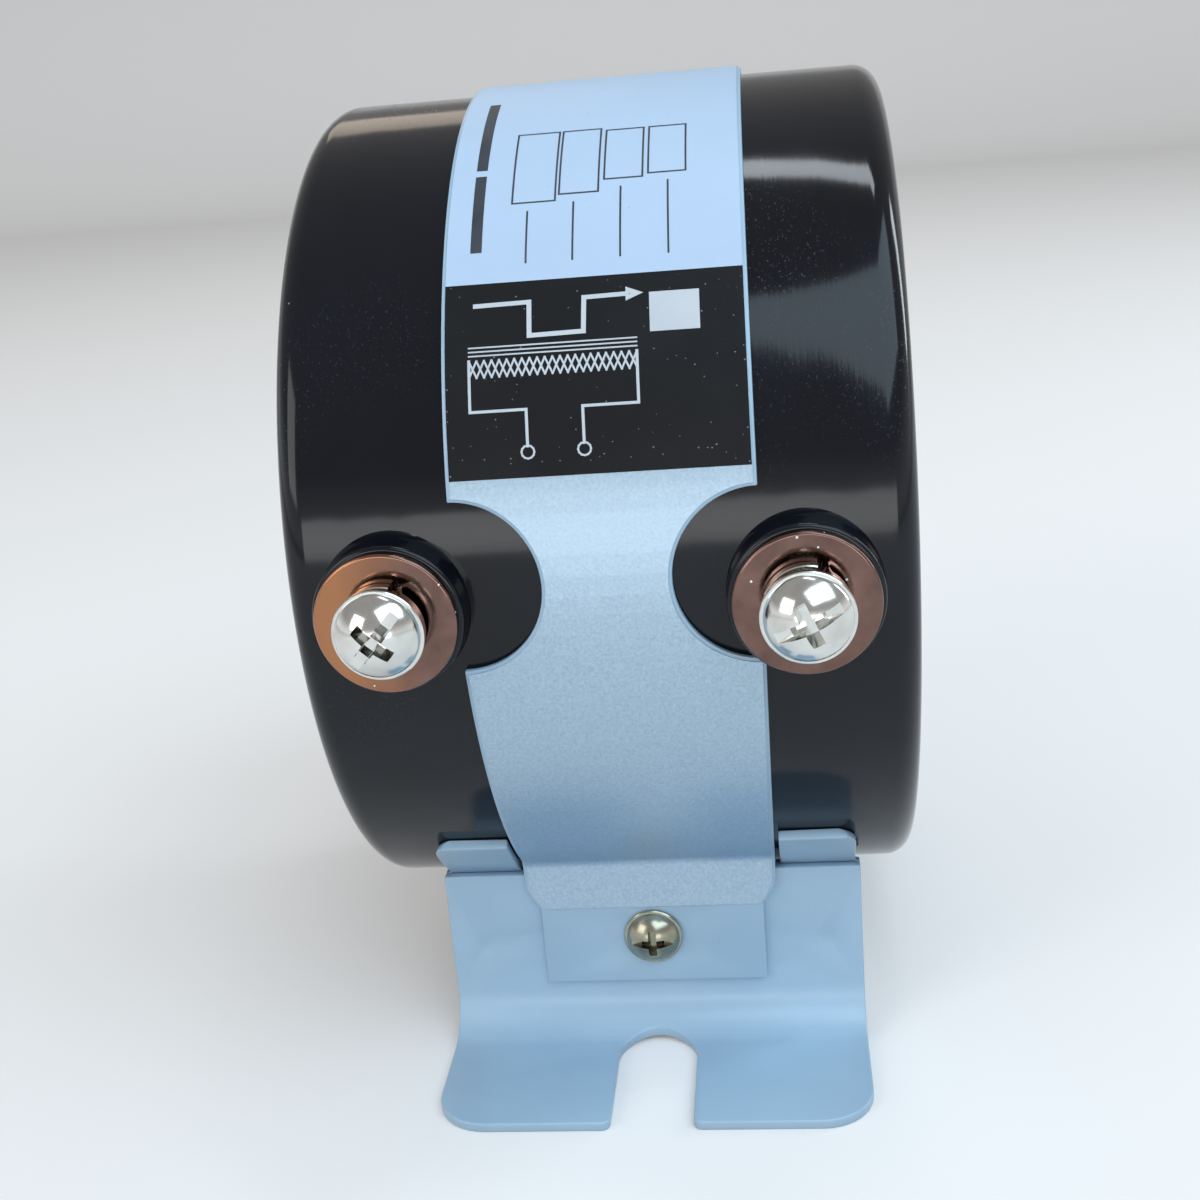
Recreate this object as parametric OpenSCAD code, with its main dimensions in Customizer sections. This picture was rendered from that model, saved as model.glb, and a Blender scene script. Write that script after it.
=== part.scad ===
// Window-type current transformer: a ring case strapped to a bent sheet bracket.
//
// Frame: the origin is the centre of the window, +X runs along the window,
// the screw terminals face -Y, and +Z is up. All sizes are in millimetres.

/* [Ring case] */
// Outside diameter of the ring case
case_d = 100; // [96:0.5:110]
// Width of the ring case, along the window
case_w = 66.4; // [64:0.4:74]
// Diameter of the window that the conductor passes through
window_d = 40; // [36:1:42]
// Thickness of the outer and side walls
case_wall = 4; // [3.5:0.25:4.5]
// Thickness of the tube that lines the window
liner_wall = 3; // [2:0.25:3.5]
// Radius of the outer edges of the case
case_edge = 3; // [1.5:0.5:3]
// Radius of the edges of the window
window_edge = 1.5; // [0.5:0.25:1.75]
// Thickness of the cover that closes the open side
cover_t = 3; // [2:0.25:3.5]
// How deep the cover sits below the rim of the case
cover_recess = 0.6; // [0.2:0.1:1]

/* [Terminals] */
// Distance of each terminal from the side of the case
terminal_inset = 11.8; // [10.6:0.1:12.4]
// Diameter of the moulded bosses under the terminals
boss_d = 16; // [15:0.5:17]
// Height of the bosses above the case
boss_h = 3.5; // [3:0.25:5]
// Thread diameter of the terminal screws
terminal_thread = 5; // [4:0.5:5.5]
// Length of the terminal screws under the head
terminal_len = 12; // [11:0.5:13]
// Head diameter of the terminal screws
terminal_head_d = 9.5; // [9:0.25:11]
// Head height of the terminal screws
terminal_head_h = 3.7; // [3.2:0.1:4.2]
// Outside diameter of the flat washers
washer_d = 15; // [13:0.5:15.5]
// Thickness of the flat washers
washer_t = 1.2; // [0.8:0.1:1.5]
// Outside diameter of the spring washers
spring_d = 9; // [8.5:0.1:10]
// Thickness of the spring washers
spring_t = 1.3; // [1:0.1:1.5]
// How far the ends of a spring washer stand apart when it is loose
spring_rise = 1.2; // [0.6:0.1:1.4]
// How far the right-hand screw is backed out from its spring washer
right_slack = 0.8; // [0:0.1:0.9]
// Diameter of the brass inserts in the bosses
insert_d = 8; // [7:0.25:9]

/* [Core and winding] */
// Room left between the winding's tape and the outer wall
core_room = 3.2; // [2.9:0.1:4]
// Room left between the winding and each side of the case
side_room = 2.8; // [2.6:0.1:4]
// Thickness of the sleeves inside and outside the core
sleeve_t = 0.8; // [0.4:0.1:1]
// Thickness of the rings on the core's two ends
end_ring_t = 1.2; // [0.8:0.1:1.4]
// Diameter of the enamelled wire
wire_d = 1.8; // [1.2:0.1:2]
// Turns of the secondary winding
turns = 36; // [24:1:40]
// Thickness of the tape round the winding
tape_t = 0.6; // [0.4:0.1:0.8]
// Width of the tape round the winding
tape_w = 34; // [24:1:35]
// Diameter of the lead wires
lead_d = 1.6; // [1.2:0.1:1.8]

/* [Strap and nameplate] */
// How far the strap and the bracket sit off the ring's middle, towards the cover
strap_shift = 1.2; // [0:0.1:1.4]
// Width of the strap round the ring
strap_w = 31.7; // [30.5:0.1:32.5]
// Thickness of the strap
strap_t = 0.8; // [0.6:0.1:1]
// Width of the strap where it reaches the bracket
strap_low_w = 30.6; // [29:0.1:31]
// Radius of the round notches beside the terminals
notch_r = 9.1; // [8.7:0.1:9.5]
// Height of the notches above the terminals
notch_lift = 2; // [0:0.1:2.2]
// Width of the flat tabs that are screwed to the bracket
tab_w = 27.4; // [24:0.1:28.4]
// Length of the flat ends of the strap, below the bend
tab_len = 16; // [14:0.25:16.5]
// Height of the slanted shoulders between strap and tab
shoulder_h = 2.6; // [1.5:0.1:3.5]
// Radius of the bend where the strap leaves the ring
strap_bend = 2; // [1:0.25:3]
// Thickness of the nameplate foil on the strap
plate_t = 0.2; // [0.1:0.05:0.3]
// How far the nameplate stops short of the strap's edges
plate_margin = 0.4; // [0.2:0.1:0.8]
// Angle from the terminals over the top at which the nameplate ends
plate_top = 105; // [95:1:140]
// Height of the plain end of the tab below the nameplate
plate_low = 10.4; // [10:0.1:11]

/* [Bracket] */
// Thickness of the bracket's sheet
sheet_t = 1.2; // [1:0.1:1.4]
// Width of the bracket, along the window
bracket_w = 51; // [46:0.5:56]
// Distance over the outer faces of the two walls
wall_span = 64; // [63.5:0.1:65]
// Height of the ring above the mounting face
ring_lift = 13.4; // [13:0.1:16]
// Length of each foot beyond its wall
foot_len = 20.3; // [17:0.1:26]
// Inside radius of the bend between wall and foot
foot_bend = 5; // [3:0.25:5.25]
// Radius of the outer corners of the feet
foot_corner = 6; // [2:0.5:8]
// Width of the open slots in the feet
slot_w = 9.6; // [7:0.2:11]
// Distance from a wall to the end of its slot
slot_gap = 2.4; // [1.5:0.1:7]
// Radius of the corners at a slot's mouth
slot_mouth = 1; // [0.4:0.1:1.5]
// Angle below the terminals at which the curved lips end
lip_top = 41.75; // [41:0.25:44]
// How much narrower the lips are than the walls, at each side
lip_inset = 0.6; // [0.4:0.1:2]
// Radius of the lips' upper corners
lip_corner = 2.4; // [1:0.2:3.4]
// Inside radius of the bends beside the cradle's floor
cradle_bend = 0.8; // [0.4:0.1:1.2]
// Height of the cradle's floor above the mounting face
cradle_rise = 1; // [0.4:0.1:2]
// Height of the strap screws above the ends of the tabs
screw_rise = 6.4; // [5:0.1:6.8]
// Distance of the weld marks from the middle of a wall
weld_x = 21; // [18:0.5:22]

/* [Strap screws] */
// Thread diameter of the strap screws
strap_thread = 4; // [3:0.5:4]
// Length of the strap screws under the head
strap_screw_len = 8; // [7.5:0.5:12]
// Head diameter of the strap screws
strap_head_d = 7.1; // [6.5:0.1:8]
// Head height of the strap screws
strap_head_h = 2.6; // [2.2:0.1:3.2]
// Width of the nuts across flats
nut_flats = 7; // [6.5:0.1:7.5]
// Thickness of the nuts
nut_t = 3.2; // [2.4:0.1:3.6]
// Clearance round the screws in the sheets and washers
screw_gap = 0.3; // [0.2:0.05:0.4]

/* [Hidden] */

$fn = 96;
eps = 0.01;

// Clearances, each named once
fit_gap = 0.02;     // threads, pressed inserts and the glued nameplate
seat_gap = 0.1;     // strap, lips and cover against the case
lay_gap = 0.2;      // wire and pads against what they lie on
liner_gap = 0.3;    // winding round the window's liner

// Case
case_r = case_d / 2;
window_r = window_d / 2;
liner_r = window_r + liner_wall;
cavity_r = case_r - case_wall;
side_x = case_w / 2;
cavity_x = side_x - case_wall;                // inner face of the closed side
cover_x = side_x - cover_recess - cover_t;    // inner face of the cover

terminal_x = side_x - terminal_inset;
left_turn = 48;         // how far each terminal screw is turned
right_turn = 24;

// Core and winding, between the liner and the outer wall
wind_in_r = liner_r + liner_gap;
sleeve_in_r = wind_in_r + wire_d + lay_gap;
core_in_r = sleeve_in_r + sleeve_t + fit_gap;
tape_out_r = cavity_r - core_room;
tape_in_r = tape_out_r - tape_t;
wind_out_r = tape_in_r - lay_gap;
sleeve_out_r = wind_out_r - wire_d - lay_gap;
core_out_r = sleeve_out_r - sleeve_t - fit_gap;
wind_x = cover_x - side_room;
end_ring_x = wind_x - wire_d - lay_gap;
core_x = end_ring_x - end_ring_t - fit_gap;
pad_out_r = (sleeve_in_r + wind_out_r) / 2 + 2;
wind_corner = wire_d / 2 + 0.5;      // bend radius of the wire at the core's edges
points_per_corner = 3;
wire_sides = 6;

// Leads: along the winding, then down its side
lead_y = tape_out_r + lay_gap + lead_d / 2;
lead_bend = 2;
lead_x = wind_x + lay_gap + lead_d / 2;
lead_start_x = terminal_x - insert_d / 4;
lead_end_y = pad_out_r + 1.2;

// Terminal stack, measured from the window's axis towards the front
boss_y = case_r + boss_h;
insert_front_y = boss_y - 0.2;
insert_back_y = lead_y + lead_d / 2 + fit_gap;
insert_len = insert_front_y - insert_back_y;
spring_y = boss_y + washer_t;
head_y = spring_y + spring_t + spring_rise;
washer_hole_r = terminal_thread / 2 + screw_gap;
spring_in_r = terminal_thread / 2 + screw_gap;
spring_arc = 345;
spring_steps = 30;

// Bracket
base_z = -(case_r + ring_lift);
wall_y = wall_span / 2;
leg_y = wall_y - sheet_t;                     // outer face of the cradle's legs
lip_in_r = case_r + seat_gap;
lip_out_r = lip_in_r + sheet_t;
crease_z = -sqrt(pow(lip_out_r, 2) - pow(leg_y, 2));      // where a lip meets its leg
lip_foot = asin(-crease_z / lip_out_r);
lip_gap_x = strap_w / 2 + seat_gap;           // the lips stand either side of the strap
lip_w = bracket_w / 2 - lip_inset - lip_gap_x;
wall_top_z = crease_z - seat_gap;
cradle_z = base_z + cradle_rise;
foot_z = base_z + sheet_t;
foot_bend_z = foot_z + foot_bend;
foot_tip_y = wall_y + foot_len;
slot_end_y = wall_y + slot_gap + slot_w / 2;
weld_d = 3.2;
weld_depth = 0.15;

// Strap: round the ring, a small bend off it, then down the wall
strap_in_r = case_r + seat_gap / 2;
strap_out_r = strap_in_r + strap_t;
tab_y = wall_y + strap_t;
strap_bend_y = tab_y + strap_bend;
leave = acos(strap_bend_y / (strap_out_r + strap_bend));    // where it leaves the ring
strap_bend_z = -(strap_out_r + strap_bend) * sin(leave);
tab_end_z = strap_bend_z - tab_len;
shoulder_z = tab_end_z + plate_low;
overlap = 0.2;          // angle by which curved pieces run into each other
over_top = 90 + overlap;
notch_low_z = notch_lift - notch_r;
plate_in_r = strap_out_r + fit_gap;
plate_out_r = plate_in_r + plate_t;

// Strap screws
screw_z = tab_end_z + screw_rise;
nut_y = leg_y - sheet_t;
nut_corner = nut_flats / 2 / cos(30);
nut_chamfer = 0.5;

// ---------------------------------------------------------------- helpers

// Turns what is built round Z to lie round X
module along_x() rotate([0, 90, 0]) children();

// Extrudes a profile drawn in (Y, Z) along X, centred
module side_profile(width)
    rotate([90, 0, 90]) linear_extrude(width, center = true) children();

// Extrudes an outline drawn in (X, Z) along Y, centred
module front_outline(depth)
    rotate([90, 0, 0]) linear_extrude(depth, center = true) children();

// Stands children, built upwards from z = 0, on the front at the given place
module on_front(x, y, z = 0)
    translate([x, -y, z]) rotate([90, 0, 0]) children();

// Moves the strap, the bracket and their screws off the ring's middle
module off_middle() translate([strap_shift, 0, 0]) children();

// Mirrors front pieces to the rear
module to_rear() mirror([0, 1, 0]) children();

// A ring round X between two radii and two planes
module ring_x(inner, outer, x0, x1)
    along_x() rotate_extrude() translate([inner, x0]) square([outer - inner, x1 - x0]);

// Sector of a flat ring, from angle a0 to a1
module sector(inner, outer, a0, a1)
    rotate(a0) intersection() {
        difference() {
            circle(outer);
            circle(inner);
        }
        // a fan of quarter turns that covers the angle
        polygon(concat([[0, 0]],
            [for (i = [0:8]) 2 * outer * [cos((a1 - a0) * i / 8), sin((a1 - a0) * i / 8)]]));
    }

// Rectangle with round corners, from true circles
module round_rect(width, height, r)
    translate([r - width / 2, r - height / 2]) {
        translate([-r, 0]) square([width, height - 2 * r]);
        translate([0, -r]) square([width - 2 * r, height]);
        for (x = [0, width - 2 * r], y = [0, height - 2 * r])
            translate([x, y]) circle(r);
    }

// Joins rings of points, all of one length, into one closed solid
module skin(rings) {
    n = len(rings[0]);
    last = len(rings) - 1;
    polyhedron(
        points = [for (ring = rings) each ring],
        faces = concat(
            [[for (k = [0:n - 1]) k]],
            [for (i = [0:last - 1], k = [0:n - 1])
                each [[i * n + k, (i + 1) * n + k, (i + 1) * n + (k + 1) % n],
                      [i * n + k, (i + 1) * n + (k + 1) % n, i * n + (k + 1) % n]]],
            [[for (k = [n - 1:-1:0]) last * n + k]]));
}

// Half profile of a pan head: a short side under a spherical crown
module pan_profile(r, h) {
    side = 0.42 * h;
    crown = (r * r + pow(h - side, 2)) / (2 * (h - side));
    intersection() {
        square([r, h]);
        translate([0, h - crown]) circle(crown);
    }
}

// A pan-head screw with a slot and a cross, head upwards from z = 0
module pan_screw(thread, length, head_d, head_h, turn) {
    slot_t = 0.13 * head_d;
    slot_depth = 0.42 * head_h;
    cross_len = 0.56 * head_d;
    cross_depth = 0.62 * head_h;
    difference() {
        union() {
            rotate_extrude() pan_profile(head_d / 2, head_h);
            translate([0, 0, -length]) cylinder(d = thread, h = length + eps);
        }
        rotate(turn) {
            translate([-head_d, -slot_t / 2, head_h - slot_depth])
                cube([2 * head_d, slot_t, head_h]);
            translate([-slot_t / 2, -cross_len / 2, head_h - cross_depth])
                cube([slot_t, cross_len, head_h]);
            translate([-cross_len / 2, -slot_t / 2, head_h - cross_depth])
                cube([cross_len, slot_t, head_h]);
        }
    }
}

// ---------------------------------------------------------------- ring case

// Half section of the case: radius across, width up
module case_profile()
    difference() {
        union() {
            translate([(window_r + case_r) / 2, 0])
                intersection() {
                    round_rect(case_r - window_r, case_w, window_edge);
                    translate([-case_r, -side_x]) square([case_r, case_w]);
                }
            translate([(window_r + case_r) / 2, 0])
                intersection() {
                    round_rect(case_r - window_r, case_w, case_edge);
                    translate([0, -side_x]) square([case_r, case_w]);
                }
        }
        translate([liner_r, -cavity_x]) square([cavity_r - liner_r, case_w]);
    }

module case_shell()
    color([0.07, 0.08, 0.11]) difference() {
        union() {
            along_x() rotate_extrude() case_profile();
            for (x = [-terminal_x, terminal_x])
                on_front(x, cavity_r + case_wall / 2)
                    cylinder(d = boss_d, h = boss_y - cavity_r - case_wall / 2);
        }
        for (x = [-terminal_x, terminal_x])
            on_front(x, cavity_r - case_wall)
                cylinder(d = insert_d + 2 * fit_gap, h = case_wall * 2 + boss_h + 1);
    }

module end_cover()
    color([0.09, 0.09, 0.1])
        ring_x(liner_r + seat_gap, cavity_r - seat_gap, cover_x, cover_x + cover_t);

// ---------------------------------------------------------------- core

module core() color([0.52, 0.53, 0.55]) ring_x(core_in_r, core_out_r, -core_x, core_x);

module core_inner_sleeve()
    color([0.78, 0.7, 0.5]) ring_x(sleeve_in_r, sleeve_in_r + sleeve_t, -core_x, core_x);

module core_outer_sleeve()
    color([0.78, 0.7, 0.5]) ring_x(sleeve_out_r - sleeve_t, sleeve_out_r, -core_x, core_x);

module core_end_ring(side)
    color([0.72, 0.62, 0.42]) mirror([side < 0 ? 1 : 0, 0, 0])
        ring_x(sleeve_in_r, sleeve_out_r, core_x + fit_gap, end_ring_x);

// ---------------------------------------------------------------- winding

// One turn of the wire in the core's section: [radius, x, outward radius, outward x]
function turn_points() =
    let (mid = (wind_in_r + wind_out_r) / 2,
         half_r = (wind_out_r - wind_in_r - wire_d) / 2 - wind_corner,
         half_x = wind_x - wire_d / 2 - wind_corner)
    [for (corner = [0:3], step = [0:points_per_corner - 1])
        let (a = 90 * corner + 90 * step / (points_per_corner - 1),
             sx = (corner == 0 || corner == 3) ? 1 : -1,
             sr = corner < 2 ? 1 : -1)
        [mid + sr * half_r + wind_corner * sin(a), sx * half_x + wind_corner * cos(a), sin(a), cos(a)]];

one_turn = turn_points();
wire_steps = turns * len(one_turn);

// Angle round the core, place and outward direction at one step along the wire
function wire_angle(i) = 6 + 348 * i / wire_steps;
function on_core(radius, x, angle) = [x, -radius * cos(angle), radius * sin(angle)];
function wire_point(i) =
    let (p = one_turn[(i + wire_steps) % len(one_turn)]) on_core(p[0], p[1], wire_angle(i));
function wire_out(i) =
    let (p = one_turn[(i + wire_steps) % len(one_turn)]) on_core(p[2], p[3], wire_angle(i));
function unit(v) = v / norm(v);

// Cross-section of the wire at one step
function wire_ring(i) =
    let (run = unit(wire_point(i + 1) - wire_point(i - 1)),
         side = unit(cross(run, wire_out(i))),
         out = cross(side, run))
    [for (k = [0:wire_sides - 1])
        let (a = -360 * k / wire_sides)
        wire_point(i) + wire_d / 2 * (cos(a) * out + sin(a) * side)];

module secondary_winding()
    color([0.72, 0.36, 0.16]) skin([for (i = [0:wire_steps - 1]) wire_ring(i)]);

module winding_tape()
    color([0.85, 0.8, 0.62]) ring_x(tape_in_r, tape_out_r, -tape_w / 2, tape_w / 2);

// Foam pads between the winding's sides and the case
module pad_left()
    color([0.3, 0.3, 0.32])
        ring_x(sleeve_in_r, pad_out_r, -cavity_x + eps, -wind_x - lay_gap);

module pad_right()
    color([0.3, 0.3, 0.32])
        ring_x(sleeve_in_r, pad_out_r, wind_x + lay_gap, cover_x - eps);

// ---------------------------------------------------------------- leads and terminals

// Lead wire on the right: past the insert's end, round the winding's edge, down its side
module lead()
    color([0.62, 0.12, 0.1]) {
        translate([lead_start_x, -lead_y, 0]) along_x()
            cylinder(d = lead_d, h = lead_x - lead_bend - lead_start_x, $fn = 32);
        translate([lead_x - lead_bend, -lead_y + lead_bend, 0]) rotate(-90)
            rotate_extrude(angle = 90) translate([lead_bend, 0]) circle(d = lead_d, $fn = 32);
        translate([lead_x, -lead_y + lead_bend, 0]) rotate([-90, 0, 0])
            cylinder(d = lead_d, h = lead_y - lead_bend - lead_end_y, $fn = 32);
    }

module terminal_insert(side)
    color([0.76, 0.6, 0.28])
        on_front(side * terminal_x, insert_back_y) difference() {
            cylinder(d = insert_d, h = insert_len);
            translate([0, 0, -1])
                cylinder(d = terminal_thread + 2 * fit_gap, h = insert_len + 2);
        }

module flat_washer(side)
    color([0.8, 0.76, 0.74]) on_front(side * terminal_x, boss_y) difference() {
        cylinder(d = washer_d, h = washer_t);
        translate([0, 0, -1]) cylinder(r = washer_hole_r, h = washer_t + 2);
    }

// Split washer: one open turn whose ends stand apart
module spring_washer(side)
    color([0.75, 0.76, 0.74]) on_front(side * terminal_x, spring_y)
        skin([for (i = [0:spring_steps])
            let (a = 60 + spring_arc * i / spring_steps,
                 z = spring_rise * i / spring_steps,
                 out = [cos(a), sin(a), 0])
            [out * spring_in_r + [0, 0, z], out * spring_in_r + [0, 0, z + spring_t],
             out * spring_d / 2 + [0, 0, z + spring_t], out * spring_d / 2 + [0, 0, z]]]);

module terminal_screw(side, slack, turn)
    color([0.82, 0.82, 0.8]) on_front(side * terminal_x, head_y + slack + fit_gap)
        pan_screw(terminal_thread, terminal_len, terminal_head_d, terminal_head_h, turn);

// ---------------------------------------------------------------- strap and nameplate

// Front half of a layer that follows the strap: over the ring, round the bend, down to low_z
module layer_profile(inner, outer, top, low_z) {
    out = outer - strap_out_r;
    rotate(180) sector(inner, outer, -top, leave);
    translate([-strap_bend_y, strap_bend_z])
        sector(strap_bend - out, strap_bend - out + outer - inner, 0, leave + overlap);
    translate([-tab_y - out, low_z]) square([outer - inner, strap_bend_z - low_z + eps]);
}

// Outline of the strap from the front, narrower by a margin on each side
module strap_outline(margin)
    polygon([for (side = [1, -1]) each
        let (edge = [[strap_w / 2, case_d], [strap_w / 2, notch_low_z],
                     [strap_low_w / 2, shoulder_z + shoulder_h], [tab_w / 2, shoulder_z],
                     [tab_w / 2, base_z]])
        [for (k = [0:len(edge) - 1])
            let (p = edge[side > 0 ? k : len(edge) - 1 - k]) [side * (p[0] - margin), p[1]]]]);

module notches(r)
    for (x = [-strap_w / 2, strap_w / 2])
        on_front(x, 0, notch_lift) cylinder(r = r, h = case_d);

module strap()
    color([0.62, 0.74, 0.83]) difference() {
        intersection() {
            side_profile(strap_w) for (half = [0, 1])
                mirror([half, 0]) layer_profile(strap_in_r, strap_out_r, over_top, tab_end_z);
            front_outline(2 * case_d) strap_outline(0);
        }
        notches(notch_r);
        on_front(0, -case_d, screw_z)
            cylinder(r = strap_thread / 2 + screw_gap, h = 2 * case_d);
    }

module nameplate()
    color([0.74, 0.82, 0.86]) difference() {
        intersection() {
            side_profile(strap_w) layer_profile(plate_in_r, plate_out_r, plate_top, shoulder_z);
            front_outline(2 * case_d) strap_outline(plate_margin);
        }
        notches(notch_r + plate_margin);
    }

// ---------------------------------------------------------------- bracket

// One side of the cradle: a curved lip on a straight leg
module cradle_side() {
    bend_z = cradle_z + sheet_t + cradle_bend;
    intersection() {
        rotate(180) sector(lip_in_r, lip_out_r, lip_top, 90);
        translate([-case_r, -case_r]) square([case_r - leg_y + sheet_t, case_r]);
    }
    translate([-leg_y, bend_z]) square([sheet_t, crease_z - bend_z]);
    translate([-leg_y + sheet_t + cradle_bend, bend_z])
        rotate(180) sector(cradle_bend, cradle_bend + sheet_t, 0, 90);
}

module cradle_profile() {
    cradle_side();
    mirror([1, 0]) cradle_side();
    translate([-leg_y + sheet_t + cradle_bend, cradle_z])
        square([2 * (leg_y - sheet_t - cradle_bend), sheet_t]);
}

// Outline of the cradle from the front: the walls' width, then two lips with round corners
module cradle_outline() {
    top_z = -lip_in_r * sin(lip_top);
    translate([-bracket_w / 2, base_z - 1])
        square([bracket_w, wall_top_z - base_z + 1]);
    for (side = [-1, 1])
        translate([side * (lip_gap_x + lip_w / 2), top_z - lip_w])
            round_rect(lip_w, 2 * lip_w, lip_corner);
}

module cradle()
    color([0.62, 0.74, 0.83]) difference() {
        intersection() {
            side_profile(bracket_w) cradle_profile();
            front_outline(2 * case_d) cradle_outline();
        }
        on_front(0, -case_d, screw_z)
            cylinder(r = strap_thread / 2 + screw_gap, h = 2 * case_d);
    }

// Side view of one foot plate: wall, wide bend, foot
module foot_profile() {
    translate([-wall_y, foot_bend_z]) square([sheet_t, wall_top_z - foot_bend_z]);
    translate([-wall_y - foot_bend, foot_bend_z])
        rotate(-90) sector(foot_bend, foot_bend + sheet_t, 0, 90);
    translate([-foot_tip_y, base_z]) square([foot_len - foot_bend, sheet_t]);
}

// Plan of one foot plate, with its open slot
module foot_plan() {
    mouth_y = -foot_tip_y;
    difference() {
        union() {
            translate([-bracket_w / 2, mouth_y + foot_corner])
                square([bracket_w, foot_len + sheet_t]);
            translate([-bracket_w / 2 + foot_corner, mouth_y])
                square([bracket_w - 2 * foot_corner, foot_corner + eps]);
            for (side = [-1, 1])
                translate([side * (bracket_w / 2 - foot_corner), mouth_y + foot_corner])
                    circle(foot_corner);
        }
        translate([0, -slot_end_y]) circle(slot_w / 2);
        translate([-slot_w / 2, mouth_y - 1]) square([slot_w, foot_tip_y - slot_end_y + 1]);
        for (side = [-1, 1])
            translate([side * slot_w / 2, mouth_y])
                difference() {
                    square(2 * slot_mouth, center = true);
                    translate([side * slot_mouth, slot_mouth]) circle(slot_mouth);
                }
    }
}

module foot()
    color([0.64, 0.76, 0.85]) difference() {
        intersection() {
            side_profile(bracket_w) foot_profile();
            translate([0, 0, base_z - 1]) linear_extrude(wall_top_z - base_z + 2) foot_plan();
        }
        on_front(0, 0, screw_z) cylinder(r = strap_thread / 2 + screw_gap, h = case_d);
        for (side = [-1, 1])
            on_front(side * weld_x, wall_y - weld_depth, screw_z)
                cylinder(d = weld_d, h = 1);
    }

// ---------------------------------------------------------------- strap screws

module strap_screw()
    color([0.66, 0.66, 0.6]) on_front(0, tab_y, screw_z)
        pan_screw(strap_thread, strap_screw_len, strap_head_d, strap_head_h, 0);

module strap_nut()
    color([0.66, 0.66, 0.62]) on_front(0, nut_y - nut_t, screw_z) difference() {
        intersection() {
            cylinder(r = nut_corner, h = nut_t, $fn = 6);
            rotate_extrude() polygon([[0, 0], [nut_corner - nut_chamfer, 0],
                [nut_corner, nut_chamfer], [nut_corner, nut_t], [0, nut_t]]);
        }
        translate([0, 0, -1]) cylinder(d = strap_thread + 2 * fit_gap, h = nut_t + 2);
    }

// ---------------------------------------------------------------- nodes

case_shell();
end_cover();
core();
core_inner_sleeve();
core_outer_sleeve();
core_end_ring(-1);  // core_end_ring_left
core_end_ring(1);  // core_end_ring_right
secondary_winding();
winding_tape();
pad_left();
pad_right();
mirror([1, 0, 0]) lead();  // lead_left
lead();  // lead_right
terminal_insert(-1);  // insert_left
terminal_insert(1);  // insert_right
flat_washer(-1);  // flat_washer_left
flat_washer(1);  // flat_washer_right
spring_washer(-1);  // spring_washer_left
spring_washer(1);  // spring_washer_right
terminal_screw(-1, 0, left_turn);  // terminal_screw_left
terminal_screw(1, right_slack, right_turn);  // terminal_screw_right
off_middle() strap();
off_middle() nameplate();
off_middle() cradle();
off_middle() foot();  // foot_front
off_middle() to_rear() foot();  // foot_rear
off_middle() strap_screw();  // strap_screw_front
off_middle() to_rear() strap_screw();  // strap_screw_rear
off_middle() strap_nut();  // strap_nut_front
off_middle() to_rear() strap_nut();  // strap_nut_rear
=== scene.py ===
"""The looks of a window-type current transformer on its sheet bracket.

Lengths are written in millimetres and turned into metres by MM. The origin is the centre of the
window, +X runs along the window, the screw terminals face -Y and +Z is up.
"""

import logging
import math
from dataclasses import dataclass
from enum import Enum
from typing import Iterable, Optional, Sequence

import bpy
from mathutils import Matrix, Vector

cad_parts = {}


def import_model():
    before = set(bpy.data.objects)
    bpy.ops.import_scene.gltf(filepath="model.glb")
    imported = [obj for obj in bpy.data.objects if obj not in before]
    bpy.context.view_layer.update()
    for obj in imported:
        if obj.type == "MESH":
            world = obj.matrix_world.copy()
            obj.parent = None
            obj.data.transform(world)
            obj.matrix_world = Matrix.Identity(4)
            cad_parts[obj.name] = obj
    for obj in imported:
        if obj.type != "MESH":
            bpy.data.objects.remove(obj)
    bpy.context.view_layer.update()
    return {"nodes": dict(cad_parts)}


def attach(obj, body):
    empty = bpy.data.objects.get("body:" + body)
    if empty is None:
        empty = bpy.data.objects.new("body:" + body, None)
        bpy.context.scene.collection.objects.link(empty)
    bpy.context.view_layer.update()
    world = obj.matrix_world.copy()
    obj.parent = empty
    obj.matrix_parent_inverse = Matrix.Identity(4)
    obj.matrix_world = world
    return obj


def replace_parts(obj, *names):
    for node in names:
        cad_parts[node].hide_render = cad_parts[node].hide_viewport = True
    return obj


LOG = logging.getLogger("current_transformer")
MM = 0.001

Point2 = tuple[float, float]
Point3 = tuple[float, float, float]
Colour = tuple[float, float, float]
Socket = bpy.types.NodeSocket

STRAP_SHIFT = 1.2  # how far the strap and the bracket sit off the ring's middle, towards the cover
OFF_MIDDLE = Matrix.Translation(Vector((STRAP_SHIFT, 0.0, 0.0)) * MM)


class Axis(Enum):
    """The axis that a profile is turned round or drawn out along."""

    X = (1.0, 0.0, 0.0)
    Y = (0.0, 1.0, 0.0)
    Z = (0.0, 0.0, 1.0)

    @property
    def vector(self) -> Vector:
        """The axis as a unit vector."""
        return Vector(self.value)

    def place(self, across: float, along: float) -> Vector:
        """Puts a half-profile point beside the axis.

        Args:
            across: distance from the axis, in millimetres.
            along: place along the axis, in millimetres.

        Returns:
            The point in metres, in the plane where the profile is drawn.
        """
        if self is Axis.X:
            return Vector((along, 0.0, across)) * MM
        if self is Axis.Y:
            return Vector((across, along, 0.0)) * MM
        return Vector((across, 0.0, along)) * MM


# ------------------------------------------------------------------ drawing curves


def arc(centre: Point2, radius: float, start: float, end: float, steps: int) -> list[Point2]:
    """Points along an arc in a plane.

    Args:
        centre: centre of the arc.
        radius: radius of the arc.
        start: angle of the first point, in degrees.
        end: angle of the last point, in degrees.
        steps: number of straight pieces.

    Returns:
        The steps + 1 points, from start to end.
    """
    angles = [math.radians(start + (end - start) * i / steps) for i in range(steps + 1)]
    return [(centre[0] + radius * math.cos(a), centre[1] + radius * math.sin(a)) for a in angles]


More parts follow.
